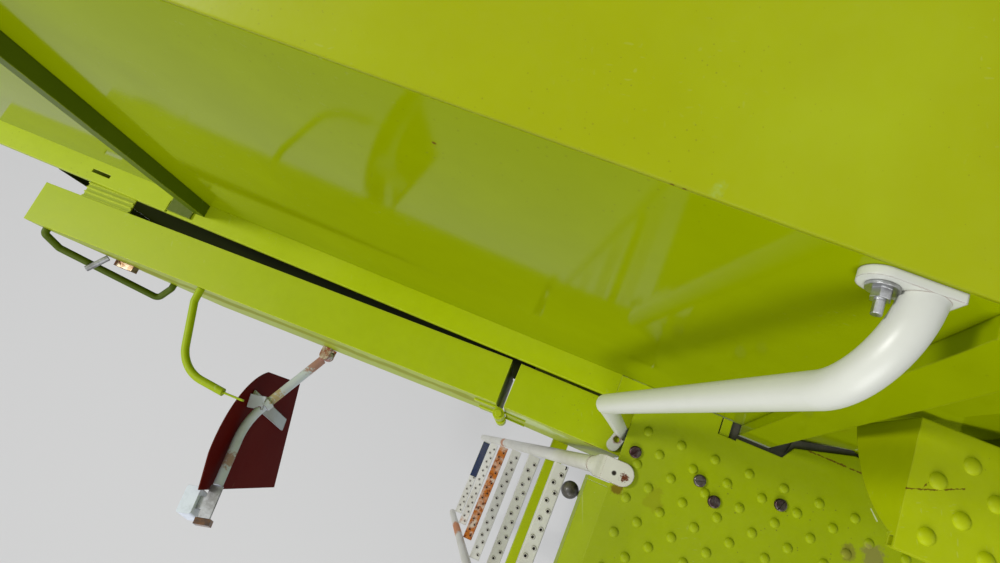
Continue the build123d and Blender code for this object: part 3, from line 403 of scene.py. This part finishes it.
def painted(name, colour, faded, spread=0.08, cloud=3.0, gloss=(0.22, 0.4), ior=1.22, dust=0.08, edge=-0.25,
            edge_round=0.0022, edge_wear_and_highlight_colour=BARE_PRIMER, rust=0.0, rust_scale=16.0, specks=0.35,
            speck_scale=110.0, scratches=0.3, peel=0.12, marks=()):
    """Sprayed and used paint on steel: a cloudy tone under scratches, dust, specks, worn edges and rust,
    with the drawn marks on top. A high edge amount turns the worn edges into a painted highlight."""
    material, w, at = open_material(name)
    rounded = rounded_normal(w, edge_round)
    tone = place(w, TONE, at, Colour=colour, Scale=cloud, Spread=spread)
    skin = w.blend(w.step(w.noise(at, cloud * 1.7, 5.0, 0.6), 0.42, 0.75), tone["Colour"], faded)
    rough = w.between(tone["Cloud"], gloss[0], gloss[1])
    height = w.maths("MULTIPLY", place(w, PEEL, at)["Height"], peel)
    if scratches:
        scratch = place(w, SCRATCH, at, Amount=scratches)["Mask"]
        skin = w.blend(scratch, skin, w.blend(0.5, skin, SCRATCH_PALE))
        height = w.maths("SUBTRACT", height, w.maths("MULTIPLY", scratch, 0.25))
    if dust:
        veil = place(w, DUST, at, Amount=dust)["Mask"]
        skin = w.blend(veil, skin, STRAW_DUST)
        rough = w.between(veil, rough, 0.85)
    if specks:
        speck = place(w, SPECKS, at, Amount=specks, Scale=speck_scale)["Mask"]
        skin = w.blend(speck, skin, DIRT_BROWN)
        rough = w.between(speck, rough, 0.9)
    # Edge wear; on the ledge and guards, with a high edge amount, a painted highlight along every edge.
    edge_wear_and_highlight = place(w, EDGES, at, Rounded=rounded, Amount=edge)["Mask"]
    skin = w.blend(edge_wear_and_highlight, skin, edge_wear_and_highlight_colour)
    rough = w.between(edge_wear_and_highlight, rough, 0.6)
    height = w.maths("SUBTRACT", height, w.maths("MULTIPLY", edge_wear_and_highlight, 0.5))
    if rust:
        bloom = place(w, RUST, at, Scale=rust_scale, Amount=rust)
        skin = w.blend(bloom["Mask"], skin, bloom["Colour"])
        rough = w.between(bloom["Mask"], rough, 0.9)
        height = w.maths("ADD", height, w.maths("MULTIPLY", bloom["Height"], 0.8))
    for group, shape, mark_colour, strength in marks:
        drawn = w.maths("MULTIPLY", place(w, group, at, **shape)["Mask"], strength)
        skin = w.blend(drawn, skin, mark_colour)
        rough = w.between(drawn, rough, 0.85)
    bump = w.node("ShaderNodeBump", None, Strength=0.35, Distance=0.0012, Height=height, Normal=rounded)
    close_material(w, skin, rough, bump, IOR=ior)
    return material


def metal(name, colour, tarnish, rough=(0.3, 0.5), rust=0.2, rust_scale=60.0):
    """Bare or zinc-plated steel with tarnish, rust and fine grain."""
    material, w, at = open_material(name)
    cloud = w.noise(at, 45.0, 6.0, 0.65)
    skin = w.blend(w.step(cloud, 0.4, 0.65), colour, tarnish)
    bloom = place(w, RUST, at, Scale=rust_scale, Amount=rust)
    skin = w.blend(bloom["Mask"], skin, bloom["Colour"])
    rough_value = w.between(bloom["Mask"], w.between(cloud, rough[0], rough[1]), 0.92)
    grain = w.maths("MULTIPLY", w.noise(at, 900.0, 2.0), 0.12)
    height = w.maths("ADD", bloom["Height"], grain)
    bump = w.node("ShaderNodeBump", None, Strength=0.4, Distance=0.001, Height=height,
                  Normal=rounded_normal(w, 0.0008))
    close_material(w, skin, rough_value, bump, Metallic=w.maths("SUBTRACT", 1.0, bloom["Mask"]))
    return material


def moulded(name, colour, worn, rough=(0.3, 0.5), dust=0.3):
    """Moulded plastic or rubber with fine grain, a worn tone, specks and dust."""
    material, w, at = open_material(name)
    cloud = w.noise(at, 30.0, 5.0, 0.6)
    skin = w.blend(w.step(cloud, 0.45, 0.7), colour, worn)
    veil = place(w, DUST, at, Amount=dust, Scale=20.0)["Mask"]
    speck = place(w, SPECKS, at, Amount=0.5, Scale=140.0)["Mask"]
    skin = w.blend(speck, w.blend(veil, skin, STRAW_DUST), DIRT_GREY)
    rough_value = w.between(veil, w.between(cloud, rough[0], rough[1]), 0.85)
    bump = w.node("ShaderNodeBump", None, Strength=0.2, Distance=0.0006, Height=w.noise(at, 700.0, 2.0),
                  Normal=rounded_normal(w, 0.0012))
    close_material(w, skin, rough_value, bump, Coat_Weight=0.2)
    return material


# Ledge and guards: their edges get an unbroken pale line, a painted highlight, not worn paint.
EDGE_HIGHLIGHT_LOOK = dict(edge_round=0.0014, edge_wear_and_highlight_colour=PAINTED_EDGE_HIGHLIGHT)
FINISH = {
    # Wall: a darker copy of the green on the ledge and guards, painted shade of the low light on this
    # upright face.
    "wall": painted("glossy_wall_green_painted_shade", paint(134, 149, 0), paint(142, 158, 0), spread=0.05, cloud=1.6,
                    ior=1.11, gloss=(0.05, 0.1), dust=0.0, edge=-0.55, specks=0.2, scratches=0.15, peel=0.03,
                    marks=WALL_MARKS),
    "shoulder": painted("sunlit_shoulder_green", paint(146, 155, 0), paint(156, 172, 22), spread=0.05,
                        cloud=1.3, gloss=(0.22, 0.34), dust=0.03, edge=-0.5, specks=0.25, speck_scale=190.0,
                        scratches=0.12, peel=0.1, marks=SHOULDER_MARKS),
    "ledge": painted("ledge_green", paint(160, 177, 0), paint(166, 182, 8), gloss=(0.28, 0.45), dust=0.05,
                     edge=0.4, **EDGE_HIGHLIGHT_LOOK),
    "guard": painted("guard_green", paint(153, 170, 0), paint(158, 172, 8), gloss=(0.3, 0.5), dust=0.04,
                     edge=0.4, marks=GUARD_MARKS, **EDGE_HIGHLIGHT_LOOK),
    "short_guard": painted("short_guard_green", paint(153, 170, 0), paint(158, 172, 8), gloss=(0.3, 0.5),
                           dust=0.04, edge=0.3, marks=SHORT_GUARD_MARKS, **EDGE_HIGHLIGHT_LOOK),
    "deck": painted("worn_deck_green", paint(144, 160, 0), paint(134, 150, 0), gloss=(0.35, 0.55),
                    dust=0.06, edge=-0.2, rust=0.02, specks=0.6, marks=DECK_MARKS),
    "step": painted("worn_step_green", paint(168, 182, 0), paint(160, 174, 0), gloss=(0.35, 0.55),
                    dust=0.05, edge=-0.2, rust=0.02, specks=0.6, scratches=0.15, marks=STEP_MARKS),
    "frame": painted("frame_green", paint(104, 118, 2), paint(92, 100, 12), gloss=(0.4, 0.65), dust=0.2,
                     rust=0.06),
    # Ledge post and loop handle: the body green darkened to its look in shade, painted shade.
    "post": painted("post_green", paint(70, 88, 0), paint(78, 94, 4), gloss=(0.35, 0.55), dust=0.1),
    "handle": painted("handle_green", paint(150, 170, 0), paint(140, 160, 6), gloss=(0.3, 0.5), dust=0.05,
                      rust=0.03),
    "rail": painted("rail_white", paint(204, 206, 196), paint(196, 198, 188), ior=1.45, dust=0.05,
                    spread=0.03, edge=-0.7, edge_wear_and_highlight_colour=paint(120, 60, 30), specks=0.3, marks=RAIL_MARKS),
    "ladder": painted("ladder_white", paint(206, 206, 196), paint(188, 186, 172), gloss=(0.35, 0.6), ior=1.4,
                      dust=0.1, edge=0.0, edge_wear_and_highlight_colour=paint(112, 66, 38), rust=0.06, rust_scale=22.0,
                      marks=LADDER_MARKS),
    "rusty_tread": painted("rusty_tread", paint(170, 96, 24), paint(196, 188, 170), cloud=26.0, spread=0.25,
                           gloss=(0.6, 0.85), dust=0.05, edge=0.1, edge_wear_and_highlight_colour=paint(96, 48, 18), rust=0.52,
                           rust_scale=70.0),
    "arm": painted("arm_white", paint(188, 196, 204), paint(160, 160, 156), gloss=(0.45, 0.7), dust=0.1,
                   edge=0.05, edge_wear_and_highlight_colour=paint(104, 60, 36), rust=0.2, rust_scale=34.0, marks=ARM_MARKS),
    # Marker board: its red darkened to its look in shade, painted shade.
    "board": painted("board_red_painted_shade", paint(84, 5, 0), paint(92, 14, 4), gloss=(0.5, 0.75), ior=1.12,
                     dust=0.0, edge=-0.1, edge_wear_and_highlight_colour=paint(96, 60, 40), rust=0.05, scratches=0.15,
                     specks=0.4),
    "blue": painted("foot_plate_blue", paint(26, 44, 78), paint(44, 58, 84), dust=0.2, edge=0.05, rust=0.1),
    "lever": painted("lever_black", paint(26, 27, 30), paint(44, 44, 44), dust=0.2, edge=-0.1, rust=0.06),
    # Lower side: near-black green, painted shade behind and under the guard.
    "shade": painted("side_painted_shade_green", paint(26, 31, 4), paint(32, 38, 7), gloss=(0.8, 0.95), ior=1.04,
                     dust=0.0, edge=-0.6, specks=0.0, scratches=0.0),
    "screw": metal("screw_steel", paint(104, 98, 96), paint(62, 40, 42)),
    "latch": metal("latch_zinc", paint(150, 140, 120), paint(110, 84, 60), rust=0.6),
    "pin": metal("pin_zinc", paint(168, 170, 174), paint(128, 128, 128), rust=0.08),
    "bolt": metal("bolt_zinc", paint(190, 192, 194), paint(142, 142, 140), rust=0.02, rough=(0.22, 0.4)),
    "knob": moulded("knob_black", paint(28, 29, 34), paint(48, 48, 52)),
    "lamp": moulded("lamp_white", paint(216, 224, 236), paint(176, 184, 196), dust=0.05),
    "rubber": moulded("seal_rubber", paint(44, 44, 42), paint(62, 60, 54), rough=(0.7, 0.9), dust=0.1),
    # Bottoms of the tread holes: near-black painted shade, where the real holes open onto the dark below.
    "dark": moulded("hole_bottom_painted_shade", paint(18, 14, 10), paint(34, 22, 14), rough=(0.8, 0.95), dust=0.1),
    "grime": moulded("ring_grime", paint(96, 90, 72), paint(140, 134, 116), rough=(0.7, 0.9), dust=0.1),
    "amber": moulded("lens_amber", paint(34, 20, 8), paint(120, 74, 14), rough=(0.12, 0.25), dust=0.05),
}
NODES_BY_FINISH = {
    "wall": ("side_wall", "corner_strip", "rear_panel"),
    "shoulder": ("shoulder_panel", "rear_shoulder"),
    "ledge": ("ledge", "ladder_carrier"),
    "guard": ("long_guard", "guard_tray", "hinge_pins", "hinge_barrels"),
    "short_guard": ("short_guard",),
    "deck": ("deck_plate",),
    "step": ("upper_step",),
    "frame": ("front_post", "middle_post", "rear_post", "top_rail", "deck_rail", "lower_rail",
              "mounting_pads", "front_deck_arm", "rear_deck_arm", "step_brackets", "guard_bracket",
              "ledge_stiffener"),
    "post": ("ledge_post", "loop_handle"),
    "handle": ("hook_rod",),
    "rail": ("grab_rail",),
    "ladder": ("inner_stringer", "outer_stringer", "tread_1", "tread_2", "tread_3", "tread_5", "tread_6"),
    "rusty_tread": ("tread_4",),
    "arm": ("marker_arm", "board_clamp"),
    "board": ("marker_board",),
    "blue": ("ladder_foot_plate",),
    "lever": ("lever",),
    "shade": ("lower_side",),
    "screw": ("deck_screws",),
    "latch": ("guard_latch", "marker_bracket"),
    "pin": ("lock_pin", "lamp_bracket"),
    "bolt": ("rail_bolt",),
    "knob": ("lever_knob",),
    "lamp": ("lamp_body",),
    "rubber": ("deck_seal",),
    "amber": ("lamp_lens",),
}
NODE_FINISH = {node: finish for finish, nodes in NODES_BY_FINISH.items() for node in nodes}
for node_name, node_object in NODES.items():
    node_object.data.materials.clear()
    node_object.data.materials.append(FINISH[NODE_FINISH[node_name]])


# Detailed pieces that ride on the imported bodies

def add_piece(name, work, finish, body, smooth=True, thick=0.0, outward=None):
    """Makes one piece from its mesh work, paints it and sets it on its body.

    Where outward is given, it tells for each face which way its front looks.
    """
    bmesh.ops.remove_doubles(work, verts=work.verts, dist=0.00001)
    if outward is None:
        bmesh.ops.recalc_face_normals(work, faces=work.faces)
    else:
        work.normal_update()
        for face in work.faces:
            if face.normal.dot(outward(face)) < 0:
                face.normal_flip()
    mesh = bpy.data.meshes.new(name)
    work.to_mesh(mesh)
    work.free()
    for face in mesh.polygons:
        face.use_smooth = smooth
    mesh.materials.append(FINISH[finish])
    piece = bpy.data.objects.new(name, mesh)
    bpy.context.scene.collection.objects.link(piece)
    if thick:
        shell = piece.modifiers.new("sheet", "SOLIDIFY")
        shell.thickness = thick
        shell.offset = -1.0
    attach(piece, body)
    return piece


def add_face(work, corners):
    return work.faces.new([work.verts.new(corner) for corner in corners])


def ring(work, centre, radius, height, count):
    """Corners of one level circle above a centre."""
    return [work.verts.new((centre[0] + radius * math.cos(math.tau * k / count),
                            centre[1] + radius * math.sin(math.tau * k / count), centre[2] + height))
            for k in range(count)]


def skin_rings(work, rings):
    """Faces between each ring and the next one."""
    faces = []
    for low, high in zip(rings, rings[1:]):
        count = len(low)
        for k in range(count):
            faces.append(work.faces.new((low[k], low[(k + 1) % count], high[(k + 1) % count], high[k])))
    return faces


# Round studs of the deck and the upper step, over the plain six-sided ones of the solids

STUD_SIDES = 6
STUD_REACH = 0.011    # corners nearer than this belong to one stud
STUD_LEVEL = 0.0015   # a stud's top corners lie higher than this above the plate
DECK_STUD = 0.0066    # radius of a stud
STEP_STUD = 0.0076

# A dome as radius and height, both as shares of the stud's radius
DOME = ((1.015, -0.02), (0.985, 0.065), (0.90, 0.175), (0.77, 0.295), (0.58, 0.405), (0.34, 0.475),
        (0.12, 0.497), (0.03, 0.50))


def raised_tops(node, level):
    """Middles of the raised studs on a plate, from the plate's own corners above a level."""
    groups = []
    for corner in NODES[node].data.vertices:
        if corner.co.z < level:
            continue
        for group in groups:
            if (group[0] - corner.co).length < STUD_REACH:
                group.append(corner.co)
                break
        else:
            groups.append([corner.co])
    return [sum(group, Vector()) / len(group) for group in groups if len(group) >= STUD_SIDES]


def stud_domes(name, node, plate_z, radius, finish):
    work = bmesh.new()
    for top in raised_tops(node, plate_z + STUD_LEVEL):
        rings = [ring(work, (top.x, top.y, plate_z), share * radius, rise * radius, 16)
                 for share, rise in DOME]
        skin_rings(work, rings)
        work.faces.new(rings[-1])
    add_piece(name, work, finish, "machine_side")


stud_domes("deck_domes", "deck_plate", DECK_TOP, DECK_STUD, "deck")
stud_domes("step_domes", "upper_step", STEP_TOP, STEP_STUD, "step")


# Ladder treads folded from sheet, each with two staggered rows of ringed holes

HOLE_PITCH = 0.01715        # along the tread, from a hole in one row to the next in the other
FIRST_HOLE = 0.019          # from the tread's end
HOLE_ROWS = (0.0058, -0.0036)
HOLE_SIDES = 24
RING_RISE = 0.0018          # the flat top lies this far under the tops of the rings
TREAD_BEND = 0.0022
END_STRIP = 0.004           # least plain strip behind the last hole
RUSTED_TREAD = 4

# A hole as radius and height, from its bottom, a dark disc of painted shade where the real hole is open,
# over its ring to the flat top
HOLE = ((0.0025, -0.0016), (0.0026, 0.0012), (0.0030, 0.0019), (0.0036, 0.0019), (0.0044, 0.0009),
        (0.0049, 0.0), (0.0053, 0.0))


def reach(start, way, low, high):
    """How far a ray goes from start before it leaves the stretch from low to high."""
    if abs(way) <= 1e-6:
        return 1.0
    return ((high if way > 0 else low) - start) / way


def punched_band(work, x_low, x_high, y_low, y_high, z, hole):
    """One band of tread top with its raised, ringed hole."""
    rings = [ring(work, (hole[0], hole[1], z), radius, height, HOLE_SIDES) for radius, height in HOLE]
    skin_rings(work, rings[1:5])
    grimy = skin_rings(work, rings[4:6])
    skin_rings(work, rings[5:])
    # The bottom disc and lowest wall of each hole take material 1, the painted shade.
    dark = skin_rings(work, rings[:2])
    dark.append(work.faces.new(rings[0]))
    for index, faces in ((1, dark), (2, grimy)):
        for face in faces:
            face.material_index = index
    rim = []
    for k in range(HOLE_SIDES):
        way = (math.cos(math.tau * k / HOLE_SIDES), math.sin(math.tau * k / HOLE_SIDES))
        far = min(reach(hole[0], way[0], x_low, x_high), reach(hole[1], way[1], y_low, y_high))
        rim.append(work.verts.new((hole[0] + way[0] * far, hole[1] + way[1] * far, z)))
    skin_rings(work, [rings[-1], rim])
    for x in (x_low, x_high):
        for y in (y_low, y_high):
            near = sorted(rim, key=lambda v: (v.co.x - x) ** 2 + (v.co.y - y) ** 2)[:2]
            work.faces.new((near[0], near[1], work.verts.new((x, y, z))))


def tread_sheet(number, finish):
    """Ladder tread folded from sheet: a punched top and two folded sides."""
    node = f"tread_{number}"
    low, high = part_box(node)
    start, end = high[1], low[1]
    middle = (low[0] + high[0]) / 2
    half = (high[0] - low[0]) / 2
    flat = half - TREAD_BEND
    flat_z = high[2] - RING_RISE
    work = bmesh.new()
    y = start - FIRST_HOLE
    edge = start
    count = 0
    while y - HOLE_PITCH / 2 > end + END_STRIP:
        row = middle + HOLE_ROWS[count % 2]
        punched_band(work, middle - flat, middle + flat, y - HOLE_PITCH / 2, edge, flat_z, (row, y))
        edge = y - HOLE_PITCH / 2
        y -= HOLE_PITCH
        count += 1
    add_face(work, [(middle - flat, edge, flat_z), (middle + flat, edge, flat_z),
                    (middle + flat, end, flat_z), (middle - flat, end, flat_z)])
    fold = [(flat, 0.0), (flat + TREAD_BEND * 0.6, -TREAD_BEND * 0.2), (half - 0.0002, -TREAD_BEND * 0.7),
            (half, -TREAD_BEND * 1.5), (half, low[2] - flat_z)]
    for side in (-1, 1):
        near = [work.verts.new((middle + side * x, start, flat_z + z)) for x, z in fold]
        far = [work.verts.new((middle + side * x, end, flat_z + z)) for x, z in fold]
        for k in range(len(fold) - 1):
            work.faces.new((near[k], near[k + 1], far[k + 1], far[k]))

    def outward(face):
        across = face.calc_center_median().x - middle
        if abs(across) > flat + 0.0004:
            return Vector((math.copysign(1.0, across), 0.0, 0.3))
        return Vector((0, 0, 1))

    piece = add_piece(f"tread_sheet_{number}", work, finish, "machine_side", outward=outward)
    # Material 1 paints the shade in the hole bottoms; material 2 is the grime at the rings' feet.
    piece.data.materials.append(FINISH["dark"])
    piece.data.materials.append(FINISH["grime"])
    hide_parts(node)


for number in range(1, 7):
    tread_sheet(number, "rusty_tread" if number == RUSTED_TREAD else "ladder")


# Slotted faces on the deck's screws

SCREWS = ((0.347, -0.168, 0.9), (0.4395, -0.1696, 0.3), (0.465, -0.188, 2.0), (0.5476, -0.1572, 1.2))
SCREW_FACE = 0.2534
SCREW_RADIUS = 0.0078
SLOT_HALF = 0.0011
HEAD = ((1.0, 0.0), (0.98, 0.0007), (0.86, 0.0013))   # share of the radius, and height


def slotted_head(work, x, y, turn):
    """Two raised halves of a slotted screw head, the slot left open between them."""
    for side in (0.0, math.pi):
        loops = []
        for share, height in HEAD:
            size = SCREW_RADIUS * share
            half = math.asin(SLOT_HALF / size)
            angles = [turn + side + half + (math.pi - 2 * half) * k / 12 for k in range(13)]
            loops.append([work.verts.new((x + size * math.cos(angle), y + size * math.sin(angle),
                                          SCREW_FACE + height)) for angle in angles])
        skin_rings(work, loops)
        work.faces.new(loops[-1])


work = bmesh.new()
for x, y, turn in SCREWS:
    slotted_head(work, x, y, turn)
add_piece("deck_screw_heads", work, "screw", "machine_side", smooth=False)


# Thin plates: the lip's last stretch, a dark plate of painted shade under the gaps at the deck's inner edge,
# the ledge's end and the lower side's turned edge in painted shade

LIP_END = ((0.3290, DECK_TOP), (0.3020, 0.2250), (0.3020, 0.1850))
LIP_OUTER_Y = -0.2258
LIP_INNER_Y = -0.2200
work = bmesh.new()
for near, far in zip(LIP_END, LIP_END[1:]):
    add_face(work, [(near[0], LIP_OUTER_Y, near[1]), (far[0], LIP_OUTER_Y, far[1]),
                    (far[0], LIP_INNER_Y, far[1]), (near[0], LIP_INNER_Y, near[1])])
add_piece("deck_lip_end", work, "deck", "machine_side", smooth=False)


def flat_plate(name, outline, top, finish, thick):
    work = bmesh.new()
    add_face(work, [(x, y, top) for x, y in outline])
    add_piece(name, work, finish, "machine_side", smooth=False, thick=thick)


GAP_SHADE_OUTLINE = ((0.3950, -0.1250), (0.3950, -0.0762), (0.4720, -0.0762), (0.4720, -0.0912), (0.5190, -0.0912),
              (0.5190, -0.0672), (0.5300, -0.0672), (0.6200, -0.0515), (0.7300, -0.0515), (0.7300, -0.1250))
LEDGE_END = ((0.2963, -0.0755), (0.2963, -0.1016), (0.3520, -0.1016), (0.4120, -0.0768), (0.4120, -0.0755))
# A near-black plate just under the deck's inner edge: painted shade seen down the gaps between deck and
# wall.
flat_plate("gap_shade_plate", GAP_SHADE_OUTLINE, 0.2422, "rubber", 0.002)
flat_plate("ledge_end", LEDGE_END, 0.2499, "ledge", 0.003)

# The lower side's turned edge, in the painted shade of the lower side.
SIDE_EDGE_X = -0.7975
SIDE_EDGE = ((-0.0900, -0.2900), (-0.0900, 0.1000), (-0.0755, 0.1000), (-0.0755, -0.2900))
work = bmesh.new()
add_face(work, [(SIDE_EDGE_X, y, z) for y, z in SIDE_EDGE])
add_piece("lower_side_edge", work, "shade", "machine_side", smooth=False, thick=0.002)


# Floor, light and camera

FLOOR_Z = -1.9
FLOOR_HALF = 14.0
FLOOR_GREY = (0.64, 0.64, 0.635, 1.0)


def pale_floor():
    """Large plain floor in pale grey."""
    mesh = bpy.data.meshes.new("studio_floor")
    corners = [(x * FLOOR_HALF, y * FLOOR_HALF, FLOOR_Z) for x, y in ((-1, -1), (1, -1), (1, 1), (-1, 1))]
    mesh.from_pydata(corners, [], [(0, 1, 2, 3)])
    floor = bpy.data.objects.new("studio_floor", mesh)
    bpy.context.scene.collection.objects.link(floor)
    material = bpy.data.materials.new("studio_floor_grey")
    material.use_nodes = True
    shader = material.node_tree.nodes["Principled BSDF"]
    shader.inputs["Base Color"].default_value = FLOOR_GREY
    shader.inputs["Roughness"].default_value = 0.9
    mesh.materials.append(material)


def area_light(name, at, towards, size, watts, colour=(1.0, 1.0, 1.0)):
    data = bpy.data.lights.new(name, "AREA")
    data.shape = "DISK"
    data.size = size
    data.energy = watts
    data.color = colour
    lamp = bpy.data.objects.new(name, data)
    lamp.location = at
    lamp.rotation_euler = (Vector(towards) - Vector(at)).to_track_quat("-Z", "Y").to_euler()
    bpy.context.scene.collection.objects.link(lamp)


def studio_world():
    """Soft light from all round, and plain white wherever the camera or a mirror image sees it."""
    world = bpy.data.worlds.new("studio")
    bpy.context.scene.world = world
    world.use_nodes = True
    world.node_tree.nodes.clear()
    w = Wiring(world.node_tree)
    path = w.node("ShaderNodeLightPath").outputs
    seen = w.maths("MAXIMUM", path["Is Camera Ray"], path["Is Transmission Ray"])
    seen = w.maths("MAXIMUM", seen, path["Is Glossy Ray"])
    soft = w.node("ShaderNodeBackground", None, Color=(0.93, 0.95, 1.0, 1.0), Strength=0.45)
    white = w.node("ShaderNodeBackground", None, Color=(0.95, 0.95, 0.95, 1.0), Strength=1.0)
    mixed = w.node("ShaderNodeMixShader", None, i0=seen, i1=soft.outputs[0], i2=white.outputs[0])
    w.tree.links.new(mixed.outputs[0], w.node("ShaderNodeOutputWorld").inputs[0])


def photo_camera(eye, right, back, lens):
    """Camera at the photograph's place; right is the picture's right and back points away from the view."""
    data = bpy.data.cameras.new("photo_camera")
    data.lens = lens
    data.sensor_fit = "HORIZONTAL"
    data.sensor_width = 36.0
    data.clip_start = 0.02
    camera = bpy.data.objects.new("photo_camera", data)
    back = Vector(back).normalized()
    up = back.cross(Vector(right).normalized()).normalized()
    turn = Matrix((up.cross(back), up, back)).transposed().to_4x4()
    camera.matrix_world = Matrix.Translation(eye) @ turn
    bpy.context.scene.collection.objects.link(camera)
    bpy.context.scene.camera = camera


pale_floor()
studio_world()
area_light("key", at=(-4.0, -0.7, 4.0), towards=(0.0, -0.1, 0.2), size=1.3, watts=175.0,
           colour=(1.0, 0.985, 0.95))
area_light("fill", at=(0.8, -3.8, 2.2), towards=(0.1, -0.1, 0.0), size=3.0, watts=100.0)
photo_camera(eye=(0.200, -0.245, 1.128), right=(0.9206, 0.3898, -0.0237), back=(0.1316, -0.2525, 0.9587),
             lens=21.99)
bpy.context.scene.view_settings.view_transform = "Standard"

bpy.context.view_layer.update()
